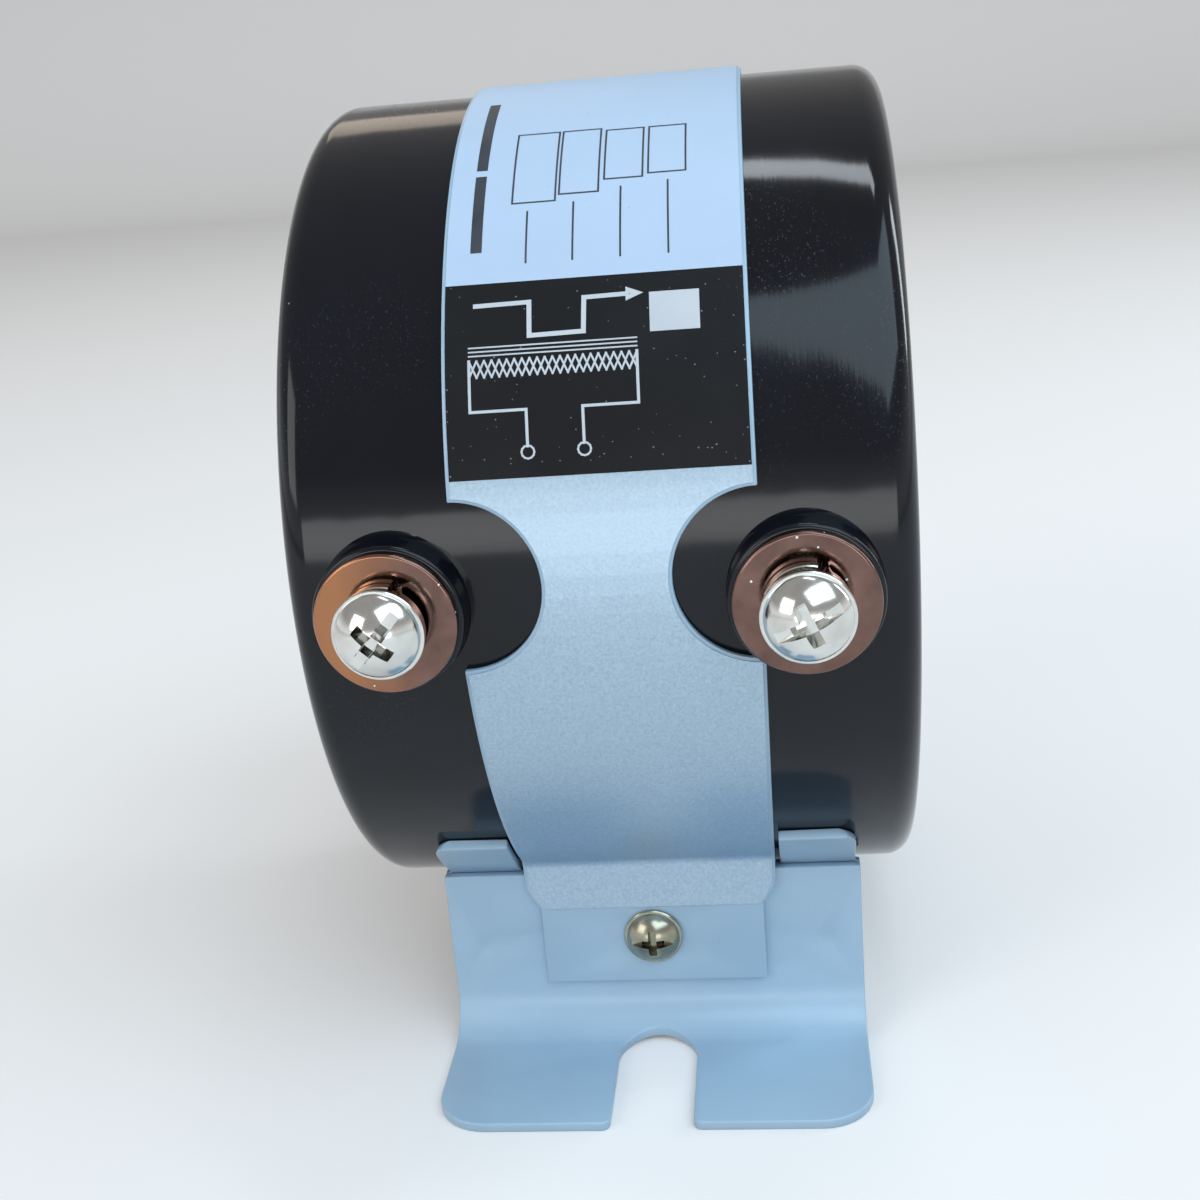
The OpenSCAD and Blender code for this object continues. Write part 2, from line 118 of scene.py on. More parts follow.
def without_repeats(points: Iterable[Point2], gap: float = 1e-4) -> list[Point2]:
    """Drops points that lie on the one before.

    Args:
        points: the points in order.
        gap: the least distance that is kept between two of them.

    Returns:
        The points that are left.
    """
    kept: list[Point2] = []
    for point in points:
        if not kept or math.dist(point, kept[-1]) > gap:
            kept.append(point)
    if len(kept) > 1 and math.dist(kept[0], kept[-1]) <= gap:
        kept.pop()
    return kept


# ------------------------------------------------------------------ the bench: mesh work by hand


class Bench:
    """Steps of mesh work that every piece is made with."""

    @staticmethod
    def clear() -> None:
        """Leaves edit mode and deselects everything."""
        if bpy.context.object and bpy.context.object.mode != "OBJECT":
            bpy.ops.object.mode_set(mode="OBJECT")
        bpy.ops.object.select_all(action="DESELECT")

    @staticmethod
    def take(obj: bpy.types.Object) -> None:
        """Makes an object the only selected and active one."""
        Bench.clear()
        obj.select_set(True)
        bpy.context.view_layer.objects.active = obj

    @staticmethod
    def edit(obj: bpy.types.Object, kind: str = "VERT") -> None:
        """Opens an object in edit mode with all of it selected."""
        Bench.take(obj)
        bpy.ops.object.mode_set(mode="EDIT")
        bpy.ops.mesh.select_mode(type=kind)
        bpy.ops.mesh.select_all(action="SELECT")

    @staticmethod
    def close() -> None:
        """Goes back to object mode."""
        bpy.ops.object.mode_set(mode="OBJECT")

    @staticmethod
    def settle(obj: bpy.types.Object) -> None:
        """Puts an object's place, turn and scale into its mesh."""
        Bench.take(obj)
        bpy.ops.object.transform_apply(location=True, rotation=True, scale=True)

    @staticmethod
    def trace(name: str, points: Sequence[Vector], closed: bool) -> bpy.types.Object:
        """Draws a line of edges by extruding one vertex from point to point.

        Args:
            name: name of the new object.
            points: the corners of the line, in metres.
            closed: whether the ends are joined and the outline is filled.

        Returns:
            The new object.
        """
        Bench.clear()
        bpy.ops.mesh.primitive_plane_add(size=MM, location=(0.0, 0.0, 0.0))
        obj = bpy.context.object
        obj.name = obj.data.name = name
        Bench.edit(obj)
        bpy.ops.mesh.merge(type="CENTER")
        bpy.ops.transform.translate(value=points[0])
        for here, there in zip(points, points[1:]):
            bpy.ops.mesh.extrude_vertices_move(
                TRANSFORM_OT_translate={"value": tuple(there - here)}
            )
        if closed:
            bpy.ops.mesh.select_all(action="SELECT")
            bpy.ops.mesh.edge_face_add()
        Bench.close()
        return obj

    @staticmethod
    def tidy(obj: bpy.types.Object, gap: float = 0.002) -> None:
        """Merges doubled vertices and turns all faces outwards.

        Args:
            obj: the object to tidy.
            gap: vertices closer than this are merged, in millimetres.
        """
        Bench.edit(obj)
        bpy.ops.mesh.remove_doubles(threshold=gap * MM)
        bpy.ops.mesh.normals_make_consistent(inside=False)
        Bench.close()

    @staticmethod
    def turned(
        name: str, profile: Sequence[Point2], axis: Axis, steps: int, closed: bool = True
    ) -> bpy.types.Object:
        """Spins a half profile round an axis, as on a lathe.

        Args:
            name: name of the new object.
            profile: points as (distance from the axis, place along it), in millimetres.
            axis: the axis to spin round.
            steps: number of facets round the axis.
            closed: whether the profile's last point joins its first.

        Returns:
            The turned piece.
        """
        points = [axis.place(*p) for p in profile]
        if closed:
            points.append(points[0])
        obj = Bench.trace(name, points, closed=False)
        Bench.edit(obj, "EDGE")
        bpy.ops.mesh.spin(
            steps=steps, angle=2 * math.pi, center=(0.0, 0.0, 0.0), axis=axis.value
        )
        Bench.close()
        Bench.tidy(obj)
        return obj

    @staticmethod
    def drawn(
        name: str, outline: Sequence[Vector], way: Vector, doubles: float = 0.002
    ) -> bpy.types.Object:
        """Fills an outline and extrudes it into a prism.

        Args:
            name: name of the new object.
            outline: corners of the outline, in metres, all in one plane.
            way: how far and which way it is extruded, in metres.
            doubles: vertices closer than this are merged, in millimetres.

        Returns:
            The prism.
        """
        obj = Bench.trace(name, outline, closed=True)
        Bench.edit(obj, "FACE")
        bpy.ops.mesh.extrude_region_move(TRANSFORM_OT_translate={"value": tuple(way)})
        Bench.close()
        Bench.tidy(obj, doubles)
        return obj

    @staticmethod
    def apply(obj: bpy.types.Object, kind: str, **settings: object) -> None:
        """Adds a modifier, sets it and applies it.

        Args:
            obj: the object to work on.
            kind: the modifier's type.
            **settings: the modifier's properties.
        """
        Bench.take(obj)
        bpy.ops.object.modifier_add(type=kind)
        modifier = obj.modifiers[-1]
        for key, value in settings.items():
            setattr(modifier, key, value)
        bpy.ops.object.modifier_apply(modifier=modifier.name)

    @staticmethod
    def cut(obj: bpy.types.Object, tool: bpy.types.Object, operation: str = "DIFFERENCE") -> None:
        """Cuts one solid with another and throws the tool away.

        Args:
            obj: the solid that is kept.
            tool: the solid that cuts it.
            operation: DIFFERENCE, INTERSECT or UNION.
        """
        Bench.apply(obj, "BOOLEAN", operation=operation, object=tool, solver="EXACT")
        bpy.data.objects.remove(tool)

    @staticmethod
    def soften(
        obj: bpy.types.Object,
        width: float,
        segments: int = 2,
        over: float = 38.0,
        clamp: bool = False,
    ) -> None:
        """Rounds the sharp edges.

        Args:
            obj: the object to work on.
            width: width of the rounding, in millimetres.
            segments: number of facets across it.
            over: only edges sharper than this many degrees are rounded.
            clamp: whether the rounding stops where two of them would meet.
        """
        Bench.apply(
            obj,
            "BEVEL",
            width=width * MM,
            segments=segments,
            limit_method="ANGLE",
            angle_limit=math.radians(over),
            use_clamp_overlap=clamp,
            miter_outer="MITER_ARC",
        )

    @staticmethod
    def smooth(obj: bpy.types.Object, angle: float = 30.0) -> None:
        """Shades smooth across edges flatter than an angle, in degrees."""
        Bench.take(obj)
        bpy.ops.object.shade_smooth_by_angle(angle=math.radians(angle))

    @staticmethod
    def join(name: str, parts: Sequence[bpy.types.Object]) -> bpy.types.Object:
        """Joins objects into the first one.

        Args:
            name: name of the joined object.
            parts: the objects to join.

        Returns:
            The joined object.
        """
        Bench.clear()
        for part in parts:
            part.select_set(True)
        bpy.context.view_layer.objects.active = parts[0]
        if len(parts) > 1:
            bpy.ops.object.join()
        parts[0].name = parts[0].data.name = name
        return parts[0]

    @staticmethod
    def twin(obj: bpy.types.Object, name: str, move: Matrix) -> bpy.types.Object:
        """Copies an object with a mesh of its own, moved, with its faces outwards.

        Args:
            obj: the object to copy.
            name: the copy's name.
            move: the transform that is put into the copy's mesh.

        Returns:
            The copy.
        """
        copy = obj.copy()
        copy.data = obj.data.copy()
        copy.name = copy.data.name = name
        bpy.context.scene.collection.objects.link(copy)
        copy.data.transform(move)
        if move.determinant() < 0:
            copy.data.flip_normals()
        return copy

    @staticmethod
    def move(obj: bpy.types.Object, move: Matrix) -> None:
        """Puts a transform into an object's mesh."""
        obj.data.transform(move)
        if move.determinant() < 0:
            obj.data.flip_normals()


# ------------------------------------------------------------------ shader building


class Tree:
    """Short forms for the nodes of one material or node group."""

    def __init__(self, tree: bpy.types.NodeTree) -> None:
        """Args: tree: the node tree that nodes are added to."""
        self.tree = tree

    def node(self, kind: str, **settings: object) -> bpy.types.Node:
        """Adds a node and sets its properties.

        Args:
            kind: the node's type name.
            **settings: properties, or socket values as in_0, in_Scale and so on.

        Returns:
            The node.
        """
        node = self.tree.nodes.new(kind)
        for key, value in settings.items():
            if key.startswith("in_"):
                name = key[3:]
                node.inputs[int(name) if name.isdigit() else name].default_value = value
            else:
                setattr(node, key, value)
        return node

    def link(self, start: Socket, end: Socket) -> None:
        """Joins an output to an input."""
        self.tree.links.new(start, end)

    def maths(self, operation: str, *values: object, clamp: bool = False) -> Socket:
        """Adds a Math node.

        Args:
            operation: the sum to do.
            *values: numbers or sockets for its inputs.
            clamp: whether the result is held between 0 and 1.

        Returns:
            Its output.
        """
        node = self.node("ShaderNodeMath", operation=operation, use_clamp=clamp)
        for index, value in enumerate(values):
            if isinstance(value, Socket):
                self.link(value, node.inputs[index])
            else:
                node.inputs[index].default_value = value
        return node.outputs[0]

    def mix(self, share: object, first: object, second: object) -> Socket:
        """Mixes two colours.

        Args:
            share: number or socket, 0 for the first colour and 1 for the second.
            first: colour or socket.
            second: colour or socket.

        Returns:
            The mixed colour.
        """
        node = self.node("ShaderNodeMix", data_type="RGBA")
        for socket, value in ((node.inputs[0], share), (node.inputs[6], first), (node.inputs[7], second)):
            if isinstance(value, Socket):
                self.link(value, socket)
            elif isinstance(value, tuple):
                socket.default_value = (*value, 1.0)
            else:
                socket.default_value = value
        return node.outputs[2]

    def spread(
        self, value: Socket, low: float, high: float, to_low: float, to_high: float
    ) -> Socket:
        """Maps a range of values onto another, held at its ends.

        Args:
            value: the socket to map.
            low: value that becomes to_low.
            high: value that becomes to_high.
            to_low: start of the new range.
            to_high: end of the new range.

        Returns:
            The mapped value.
        """
        node = self.node("ShaderNodeMapRange", in_1=low, in_2=high, in_3=to_low, in_4=to_high)
        self.link(value, node.inputs[0])
        return node.outputs[0]

    def noise(
        self, place: Socket, scale: float, detail: float = 3.0, rough: float = 0.5
    ) -> Socket:
        """Adds a noise texture.

        Args:
            place: coordinates.
            scale: cells per metre.
            detail: octaves.
            rough: share of each finer octave.

        Returns:
            The noise value, about 0.5.
        """
        node = self.node(
            "ShaderNodeTexNoise", in_Scale=scale, in_Detail=detail, in_Roughness=rough
        )
        self.link(place, node.inputs["Vector"])
        return node.outputs[0]

    def turned_place(
        self, place: Socket, turn: Point3, scale: Point3
    ) -> Socket:
        """Turns and stretches coordinates.

        Args:
            place: coordinates.
            turn: turn about each axis, in degrees.
            scale: scale along each axis.

        Returns:
            The new coordinates.
        """
        node = self.node("ShaderNodeMapping")
        node.inputs["Rotation"].default_value = [math.radians(t) for t in turn]
        node.inputs["Scale"].default_value = scale
        self.link(place, node.inputs["Vector"])
        return node.outputs[0]


@dataclass(frozen=True)
class Pin:
    """One named input or output of a shader group."""

    name: str
    kind: str = "NodeSocketFloat"
    value: Optional[float] = None
    output: bool = False


class EffectGroups:
    """Node groups for effects that several finishes share."""

    _made: dict[str, bpy.types.NodeTree] = {}

    @classmethod
    def _group(cls, name: str, pins: Sequence[Pin]) -> tuple[Tree, dict, dict]:
        """Starts a group.

        Args:
            name: name of the group.
            pins: its inputs and outputs.

        Returns:
            The tree, its input sockets and its output sockets by name.
        """
        tree = bpy.data.node_groups.new(name, "ShaderNodeTree")
        for pin in pins:
            socket = tree.interface.new_socket(
                name=pin.name, in_out="OUTPUT" if pin.output else "INPUT", socket_type=pin.kind
            )
            if pin.value is not None:
                socket.default_value = pin.value
        enter = tree.nodes.new("NodeGroupInput")
        leave = tree.nodes.new("NodeGroupOutput")
        cls._made[name] = tree
        inputs = {s.name: s for s in enter.outputs if s.name}
        outputs = {s.name: s for s in leave.inputs if s.name}
        return Tree(tree), inputs, outputs

    @classmethod
    def specks(cls) -> bpy.types.NodeTree:
        """Small bright grains scattered over a surface.

        Returns:
            The group, with inputs Vector, Scale, Share and Size and the output Mask.
        """
        if "Specks" in cls._made:
            return cls._made["Specks"]
        pins = (
            Pin("Vector", "NodeSocketVector"),
            Pin("Scale", value=300.0),
            Pin("Share", value=0.1),
            Pin("Size", value=0.2),
            Pin("Mask", output=True),
        )
        tree, enter, leave = cls._group("Specks", pins)
        cells = tree.node("ShaderNodeTexVoronoi", feature="F1", in_Randomness=1.0)
        tree.link(enter["Vector"], cells.inputs["Vector"])
        tree.link(enter["Scale"], cells.inputs["Scale"])
        split = tree.node("ShaderNodeSeparateColor")
        tree.link(cells.outputs["Color"], split.inputs[0])
        chosen = tree.maths("LESS_THAN", split.outputs[0], enter["Share"])
        reach = tree.maths("MULTIPLY", enter["Size"], tree.spread(split.outputs[1], 0, 1, 0.35, 1))
        near = tree.maths("LESS_THAN", cells.outputs["Distance"], reach)
        tree.link(tree.maths("MULTIPLY", chosen, near), leave["Mask"])
        return tree.tree

    @classmethod
    def scratches(cls) -> bpy.types.NodeTree:
        """Hair-fine scratches in several directions, thicker in patches.

        Returns:
            The group, with inputs Vector, Scale, Patch and Amount and the output Mask.
        """
        if "Scratches" in cls._made:
            return cls._made["Scratches"]
        pins = (
            Pin("Vector", "NodeSocketVector"),
            Pin("Scale", value=2800.0),
            Pin("Patch", value=30.0),
            Pin("Amount", value=0.5),
            Pin("Mask", output=True),
        )
        tree, enter, leave = cls._group("Scratches", pins)
        total = None
        for turn, stretch in (((20, 35, 10), 0.06), ((-35, 10, 55), 0.05), ((60, -25, 80), 0.07)):
            place = tree.turned_place(enter["Vector"], turn, (1.0, stretch, 1.0))
            strokes = tree.node("ShaderNodeTexNoise", in_Detail=2.0, in_Roughness=0.7)
            tree.link(place, strokes.inputs["Vector"])
            tree.link(enter["Scale"], strokes.inputs["Scale"])
            line = tree.spread(strokes.outputs[0], 0.66, 0.71, 0.0, 1.0)
            total = line if total is None else tree.maths("MAXIMUM", total, line)
        patch = tree.node("ShaderNodeTexNoise", in_Detail=1.0)
        tree.link(enter["Vector"], patch.inputs["Vector"])
        tree.link(enter["Patch"], patch.inputs["Scale"])
        patchy = tree.spread(patch.outputs[0], 0.48, 0.68, 0.0, 1.0)
        masked = tree.maths("MULTIPLY", total, patchy)
        tree.link(tree.maths("MULTIPLY", masked, enter["Amount"], clamp=True), leave["Mask"])
        return tree.tree

    @classmethod
    def grain(cls) -> bpy.types.NodeTree:
        """Fine grain of paint or foil, with slow cloudy change.

        Returns:
            The group, with inputs Vector, Fine and Coarse and the outputs Grain and Cloud.
        """
        if "Grain" in cls._made:
            return cls._made["Grain"]
        pins = (
            Pin("Vector", "NodeSocketVector"),
            Pin("Fine", value=3000.0),
            Pin("Coarse", value=60.0),
            Pin("Grain", output=True),
            Pin("Cloud", output=True),
        )
        tree, enter, leave = cls._group("Grain", pins)
        for scale, detail, out in (("Fine", 4.0, "Grain"), ("Coarse", 3.0, "Cloud")):
            noise = tree.node("ShaderNodeTexNoise", in_Detail=detail, in_Roughness=0.6)
            tree.link(enter["Vector"], noise.inputs["Vector"])
            tree.link(enter[scale], noise.inputs["Scale"])
            tree.link(tree.spread(noise.outputs[0], 0.3, 0.7, 0.0, 1.0), leave[out])
        return tree.tree


class Finish:
    """Base of the finishes: a named material, built once."""

    name: str = "finish"
    slot: Optional[str] = None

    def __init__(self) -> None:
        """Starts with no material built."""
        self._material: Optional[bpy.types.Material] = None

    def material(self) -> bpy.types.Material:
        """The finish's material, built at its first use."""
        if self._material is None:
            material = bpy.data.materials.new(self.name)
            material.use_nodes = True
            tree = Tree(material.node_tree)
            shader = material.node_tree.nodes["Principled BSDF"]
            place = tree.node("ShaderNodeTexCoord").outputs["Object"]
            self.build(tree, shader, place)
            self._material = material
        return self._material

    def build(self, tree: Tree, shader: bpy.types.Node, place: Socket) -> None:
        """Fills in the material.

        Args:
            tree: the material's nodes.
            shader: its Principled BSDF.
            place: the piece's own coordinates.
        """
        raise NotImplementedError

    def effect(
        self,
        tree: Tree,
        group: bpy.types.NodeTree,
        place: Socket,
        **values: float,
    ) -> bpy.types.Node:
        """Places a shared effect in the material.

        Args:
            tree: the material's nodes.
            group: the effect's node group.
            place: coordinates for it.
            **values: its inputs by name.

        Returns:
            The group node.
        """
        node = tree.node("ShaderNodeGroup", node_tree=group)
        tree.link(place, node.inputs["Vector"])
        for key, value in values.items():
            node.inputs[key].default_value = value
        return node

    def bump(
        self,
        tree: Tree,
        shader: bpy.types.Node,
        height: Socket,
        strength: float,
        depth: float,
    ) -> None:
        """Adds relief to the shader.

        Args:
            tree: the material's nodes.
            shader: its shader.
            height: the relief, 0 to 1.
            strength: how strong it is.
            depth: its full depth, in millimetres.
        """
        node = tree.node("ShaderNodeBump", in_Strength=strength, in_Distance=depth * MM)
        tree.link(height, node.inputs["Height"])
        tree.link(node.outputs[0], shader.inputs["Normal"])

    def wear(self, obj: bpy.types.Object) -> bpy.types.Object:
        """Gives a piece this finish.

        Args:
            obj: the piece.

        Returns:
            The same piece.
        """
        obj.data.materials.clear()
        obj.data.materials.append(self.material())
        return obj


class CasePlastic(Finish):
    """Glossy black moulding with hair scratches, fine lines round the rim and a little dust."""

    name = "case plastic"
    slot = "case_plastic"

    def build(self, tree: Tree, shader: bpy.types.Node, place: Socket) -> None:
        """Fills in the material; see Finish.build."""
        shader.inputs["Specular IOR Level"].default_value = 0.32
        groups = EffectGroups
        scratch = self.effect(
            tree, groups.scratches(), place, Scale=2600.0, Patch=32.0, Amount=0.75
        ).outputs[0]
        dust = self.effect(
            tree, groups.specks(), place, Scale=700.0, Share=0.02, Size=0.08
        ).outputs[0]
        cloud = self.effect(tree, groups.grain(), place, Fine=1500.0, Coarse=45.0).outputs["Cloud"]
        deep = tree.mix(cloud, (0.0028, 0.0038, 0.0068), (0.0048, 0.0064, 0.0112))
        rubbed = tree.mix(scratch, deep, (0.05, 0.06, 0.08))
        tree.link(tree.mix(dust, rubbed, (0.3, 0.32, 0.34)), shader.inputs["Base Color"])
        rough = tree.maths(
            "ADD", tree.spread(cloud, 0.0, 1.0, 0.08, 0.13), tree.maths("MULTIPLY", scratch, 0.3)
        )
        dusty = tree.maths("MULTIPLY", dust, 0.8)
        tree.link(tree.maths("MAXIMUM", rough, dusty), shader.inputs["Roughness"])
        round_rim = tree.turned_place(place, (0, 0, 0), (1.0, 0.02, 0.02))
        lines = tree.maths("MULTIPLY", tree.noise(round_rim, 2600.0, 2.0), 0.05)
        relief = tree.maths("ADD", tree.maths("MULTIPLY", cloud, 0.45), lines)
        self.bump(tree, shader, relief, 0.12, 0.6)


class CoverPlastic(Finish):
    """Satin black cover with fine turned rings."""

    name = "cover plastic"
    slot = "cover_plastic"

    def build(self, tree: Tree, shader: bpy.types.Node, place: Socket) -> None:
        """Fills in the material; see Finish.build."""
        shader.inputs["Specular IOR Level"].default_value = 0.4
        cloud = self.effect(tree, EffectGroups.grain(), place, Fine=1800.0, Coarse=50.0)
        tree.link(
            tree.mix(cloud.outputs["Cloud"], (0.006, 0.006, 0.008), (0.014, 0.014, 0.018)),
            shader.inputs["Base Color"],
        )
        tree.link(
            tree.spread(cloud.outputs["Grain"], 0.0, 1.0, 0.34, 0.5), shader.inputs["Roughness"]
        )
        self.bump(tree, shader, cloud.outputs["Grain"], 0.25, 0.05)


class SheetPaint(Finish):
    """Semi-gloss pale blue-grey paint on steel sheet."""

    name = "bracket paint"
    slot = "bracket_paint"

    def build(self, tree: Tree, shader: bpy.types.Node, place: Socket) -> None:
        """Fills in the material; see Finish.build."""
        shader.inputs["Specular IOR Level"].default_value = 0.5
        cloud = self.effect(tree, EffectGroups.grain(), place, Fine=1300.0, Coarse=70.0)
        specks = self.effect(
            tree, EffectGroups.specks(), place, Scale=300.0, Share=0.012, Size=0.1
        ).outputs[0]
        body = tree.mix(cloud.outputs["Cloud"], (0.335, 0.495, 0.64), (0.37, 0.535, 0.685))
        tree.link(tree.mix(specks, body, (0.24, 0.28, 0.32)), shader.inputs["Base Color"])
        tree.link(
            tree.spread(cloud.outputs["Cloud"], 0.0, 1.0, 0.27, 0.37), shader.inputs["Roughness"]
        )
        self.bump(tree, shader, cloud.outputs["Grain"], 0.12, 0.05)


class StrapPaint(SheetPaint):
    """The same paint on the strap."""

    name = "strap paint"
    slot = "strap_paint"


class PlateFoil(Finish):
    """Grained silver-blue foil of the nameplate."""

    name = "nameplate foil"
    slot = "nameplate_foil"

    def build(self, tree: Tree, shader: bpy.types.Node, place: Socket) -> None:
        """Fills in the material; see Finish.build."""
        shader.inputs["Metallic"].default_value = 0.75
        grain = self.effect(tree, EffectGroups.grain(), place, Fine=3200.0, Coarse=55.0)
        marks = self.effect(
            tree, EffectGroups.specks(), place, Scale=260.0, Share=0.005, Size=0.06
        ).outputs[0]
        rubbed = self.effect(
            tree, EffectGroups.scratches(), place, Scale=3000.0, Patch=40.0, Amount=0.25
        ).outputs[0]
        pale = tree.mix(grain.outputs["Grain"], (0.33, 0.45, 0.56), (0.45, 0.58, 0.69))
        shiny = tree.mix(rubbed, pale, (0.62, 0.72, 0.8))
        tree.link(tree.mix(marks, shiny, (0.06, 0.05, 0.045)), shader.inputs["Base Color"])
        tree.link(
            tree.spread(grain.outputs["Grain"], 0.0, 1.0, 0.36, 0.46), shader.inputs["Roughness"]
        )
        self.bump(tree, shader, grain.outputs["Grain"], 0.35, 0.02)


@dataclass(frozen=True)
class InkTone:
    """One printed ink: its colours even, worn and at missed flecks, and its shine."""

    name: str
    even: Colour
    worn: Colour
    fleck: Colour
    rough: float
    share: float
    shine: float = 0.35


class Ink(Finish):
    """A printed field, with tiny gaps where the ink missed."""

    slot = "nameplate_foil"

    def __init__(self, tone: InkTone) -> None:
        """Args: tone: the ink's colours."""
        super().__init__()
        self.tone = tone
        self.name = tone.name

    def build(self, tree: Tree, shader: bpy.types.Node, place: Socket) -> None:
        """Fills in the material; see Finish.build."""
        tone = self.tone
        shader.inputs["Specular IOR Level"].default_value = tone.shine
        grain = self.effect(tree, EffectGroups.grain(), place, Fine=2600.0, Coarse=110.0)
        flecks = self.effect(
            tree, EffectGroups.specks(), place, Scale=2200.0, Share=tone.share, Size=0.2
        ).outputs[0]
        body = tree.mix(
            tree.maths("MULTIPLY", grain.outputs["Cloud"], 0.35), tone.even, tone.worn
        )
        tree.link(tree.mix(flecks, body, tone.fleck), shader.inputs["Base Color"])
        tree.link(
            tree.spread(grain.outputs["Grain"], 0.0, 1.0, tone.rough, tone.rough + 0.12),
            shader.inputs["Roughness"],
        )
        self.bump(tree, shader, grain.outputs["Grain"], 0.15, 0.02)


@dataclass(frozen=True)
class MetalTone:
    """One bare metal: its name, record slot, colours and polish."""

    name: str
    slot: str
    pale: Colour
    deep: Colour
    smooth: float
    rough: float
    streak: Point3 = (1.0, 1.0, 1.0)
    dust: float = 0.0


class Metal(Finish):
    """Plated or bare metal with drawn streaks, a cloudy change of tone and dust; on the washers that tone is a
    painted reflection.
    """

    def __init__(self, tone: MetalTone) -> None:
        """Args: tone: which metal it is."""
        super().__init__()
        self.tone = tone
        self.name = tone.name
        self.slot = tone.slot

    def build(self, tree: Tree, shader: bpy.types.Node, place: Socket) -> None:
        """Fills in the material; see Finish.build."""
        shader.inputs["Metallic"].default_value = 1.0
        drawn = tree.turned_place(place, (0, 0, 0), self.tone.streak)
        grain = self.effect(tree, EffectGroups.grain(), drawn, Fine=2600.0, Coarse=240.0)
        dust = self.effect(
            tree, EffectGroups.specks(), place, Scale=1500.0, Share=self.tone.dust, Size=0.2
        ).outputs[0]
        body = self.body(tree, place, grain.outputs["Cloud"])
        tree.link(tree.mix(dust, body, (0.9, 0.9, 0.88)), shader.inputs["Base Color"])
        rough = tree.spread(
            grain.outputs["Cloud"], 0.0, 1.0, self.tone.rough, self.tone.smooth
        )
        tree.link(
            tree.maths("MAXIMUM", rough, tree.maths("MULTIPLY", dust, 0.9)),
            shader.inputs["Roughness"],
        )
        self.bump(tree, shader, grain.outputs["Grain"], 0.12, 0.02)

    def body(self, tree: Tree, place: Socket, cloud: Socket) -> Socket:
        """The metal's colour without dust.

        Args:
            tree: the material's nodes.
            place: the piece's own coordinates.
            cloud: slow change over the surface, 0 to 1.

        Returns:
            The colour.
        """
        return tree.mix(cloud, self.tone.deep, self.tone.pale)


class PaintedReflectionPlate(Metal):
    """Polished plating whose dark brown colour is a painted reflection of a brown room, with a lighter
    copper-brown painted reflection towards -X.
    """

    # lighter copper-brown painted reflection on the washer's left side, full up to x = -26 mm and gone by x =
    # -18 mm
    left_painted_reflection: Colour = (0.4, 0.17, 0.075)
    left_reflection_to: float = -26.0
    plain_plate_from: float = -18.0

    def build(self, tree: Tree, shader: bpy.types.Node, place: Socket) -> None:
        """Fills in the material; see Finish.build."""
        shader.inputs["Coat Weight"].default_value = 0.5
        shader.inputs["Coat Roughness"].default_value = 0.06
        super().build(tree, shader, place)

    def body(self, tree: Tree, place: Socket, cloud: Socket) -> Socket:
        """The plating's colour without dust, painted reflections included; see Metal.body."""
        split = tree.node("ShaderNodeSeparateXYZ")
        tree.link(place, split.inputs[0])
        # painted reflection: copper-brown towards -X, fading into the brown plating colour; worn is the share
        # of the plain colour
        worn = tree.spread(split.outputs[0], self.left_reflection_to * MM, self.plain_plate_from * MM, 0.0, 1.0)
        return tree.mix(worn, self.left_painted_reflection, super().body(tree, place, cloud))


@dataclass(frozen=True)
class InnerTone:
    """One plain inner material, seen only with the case open."""

    name: str
    slot: str
    pale: Colour
    deep: Colour
    rough: float
    metallic: float
    bands: Point3


class Inner(Finish):
    """A material inside the case: banded strip, board, tape or enamel."""

    def __init__(self, tone: InnerTone) -> None:
        """Args: tone: which material it is."""
        super().__init__()
        self.tone = tone
        self.name = tone.name
        self.slot = tone.slot

    def build(self, tree: Tree, shader: bpy.types.Node, place: Socket) -> None:
        """Fills in the material; see Finish.build."""
        shader.inputs["Metallic"].default_value = self.tone.metallic
        banded = tree.turned_place(place, (0, 0, 0), self.tone.bands)
        grain = self.effect(tree, EffectGroups.grain(), banded, Fine=900.0, Coarse=120.0)
        tree.link(
            tree.mix(grain.outputs["Grain"], self.tone.deep, self.tone.pale),
            shader.inputs["Base Color"],
        )
        tree.link(
            tree.spread(grain.outputs["Cloud"], 0, 1, self.tone.rough, self.tone.rough + 0.1),
            shader.inputs["Roughness"],
        )
        self.bump(tree, shader, grain.outputs["Grain"], 0.2, 0.1)


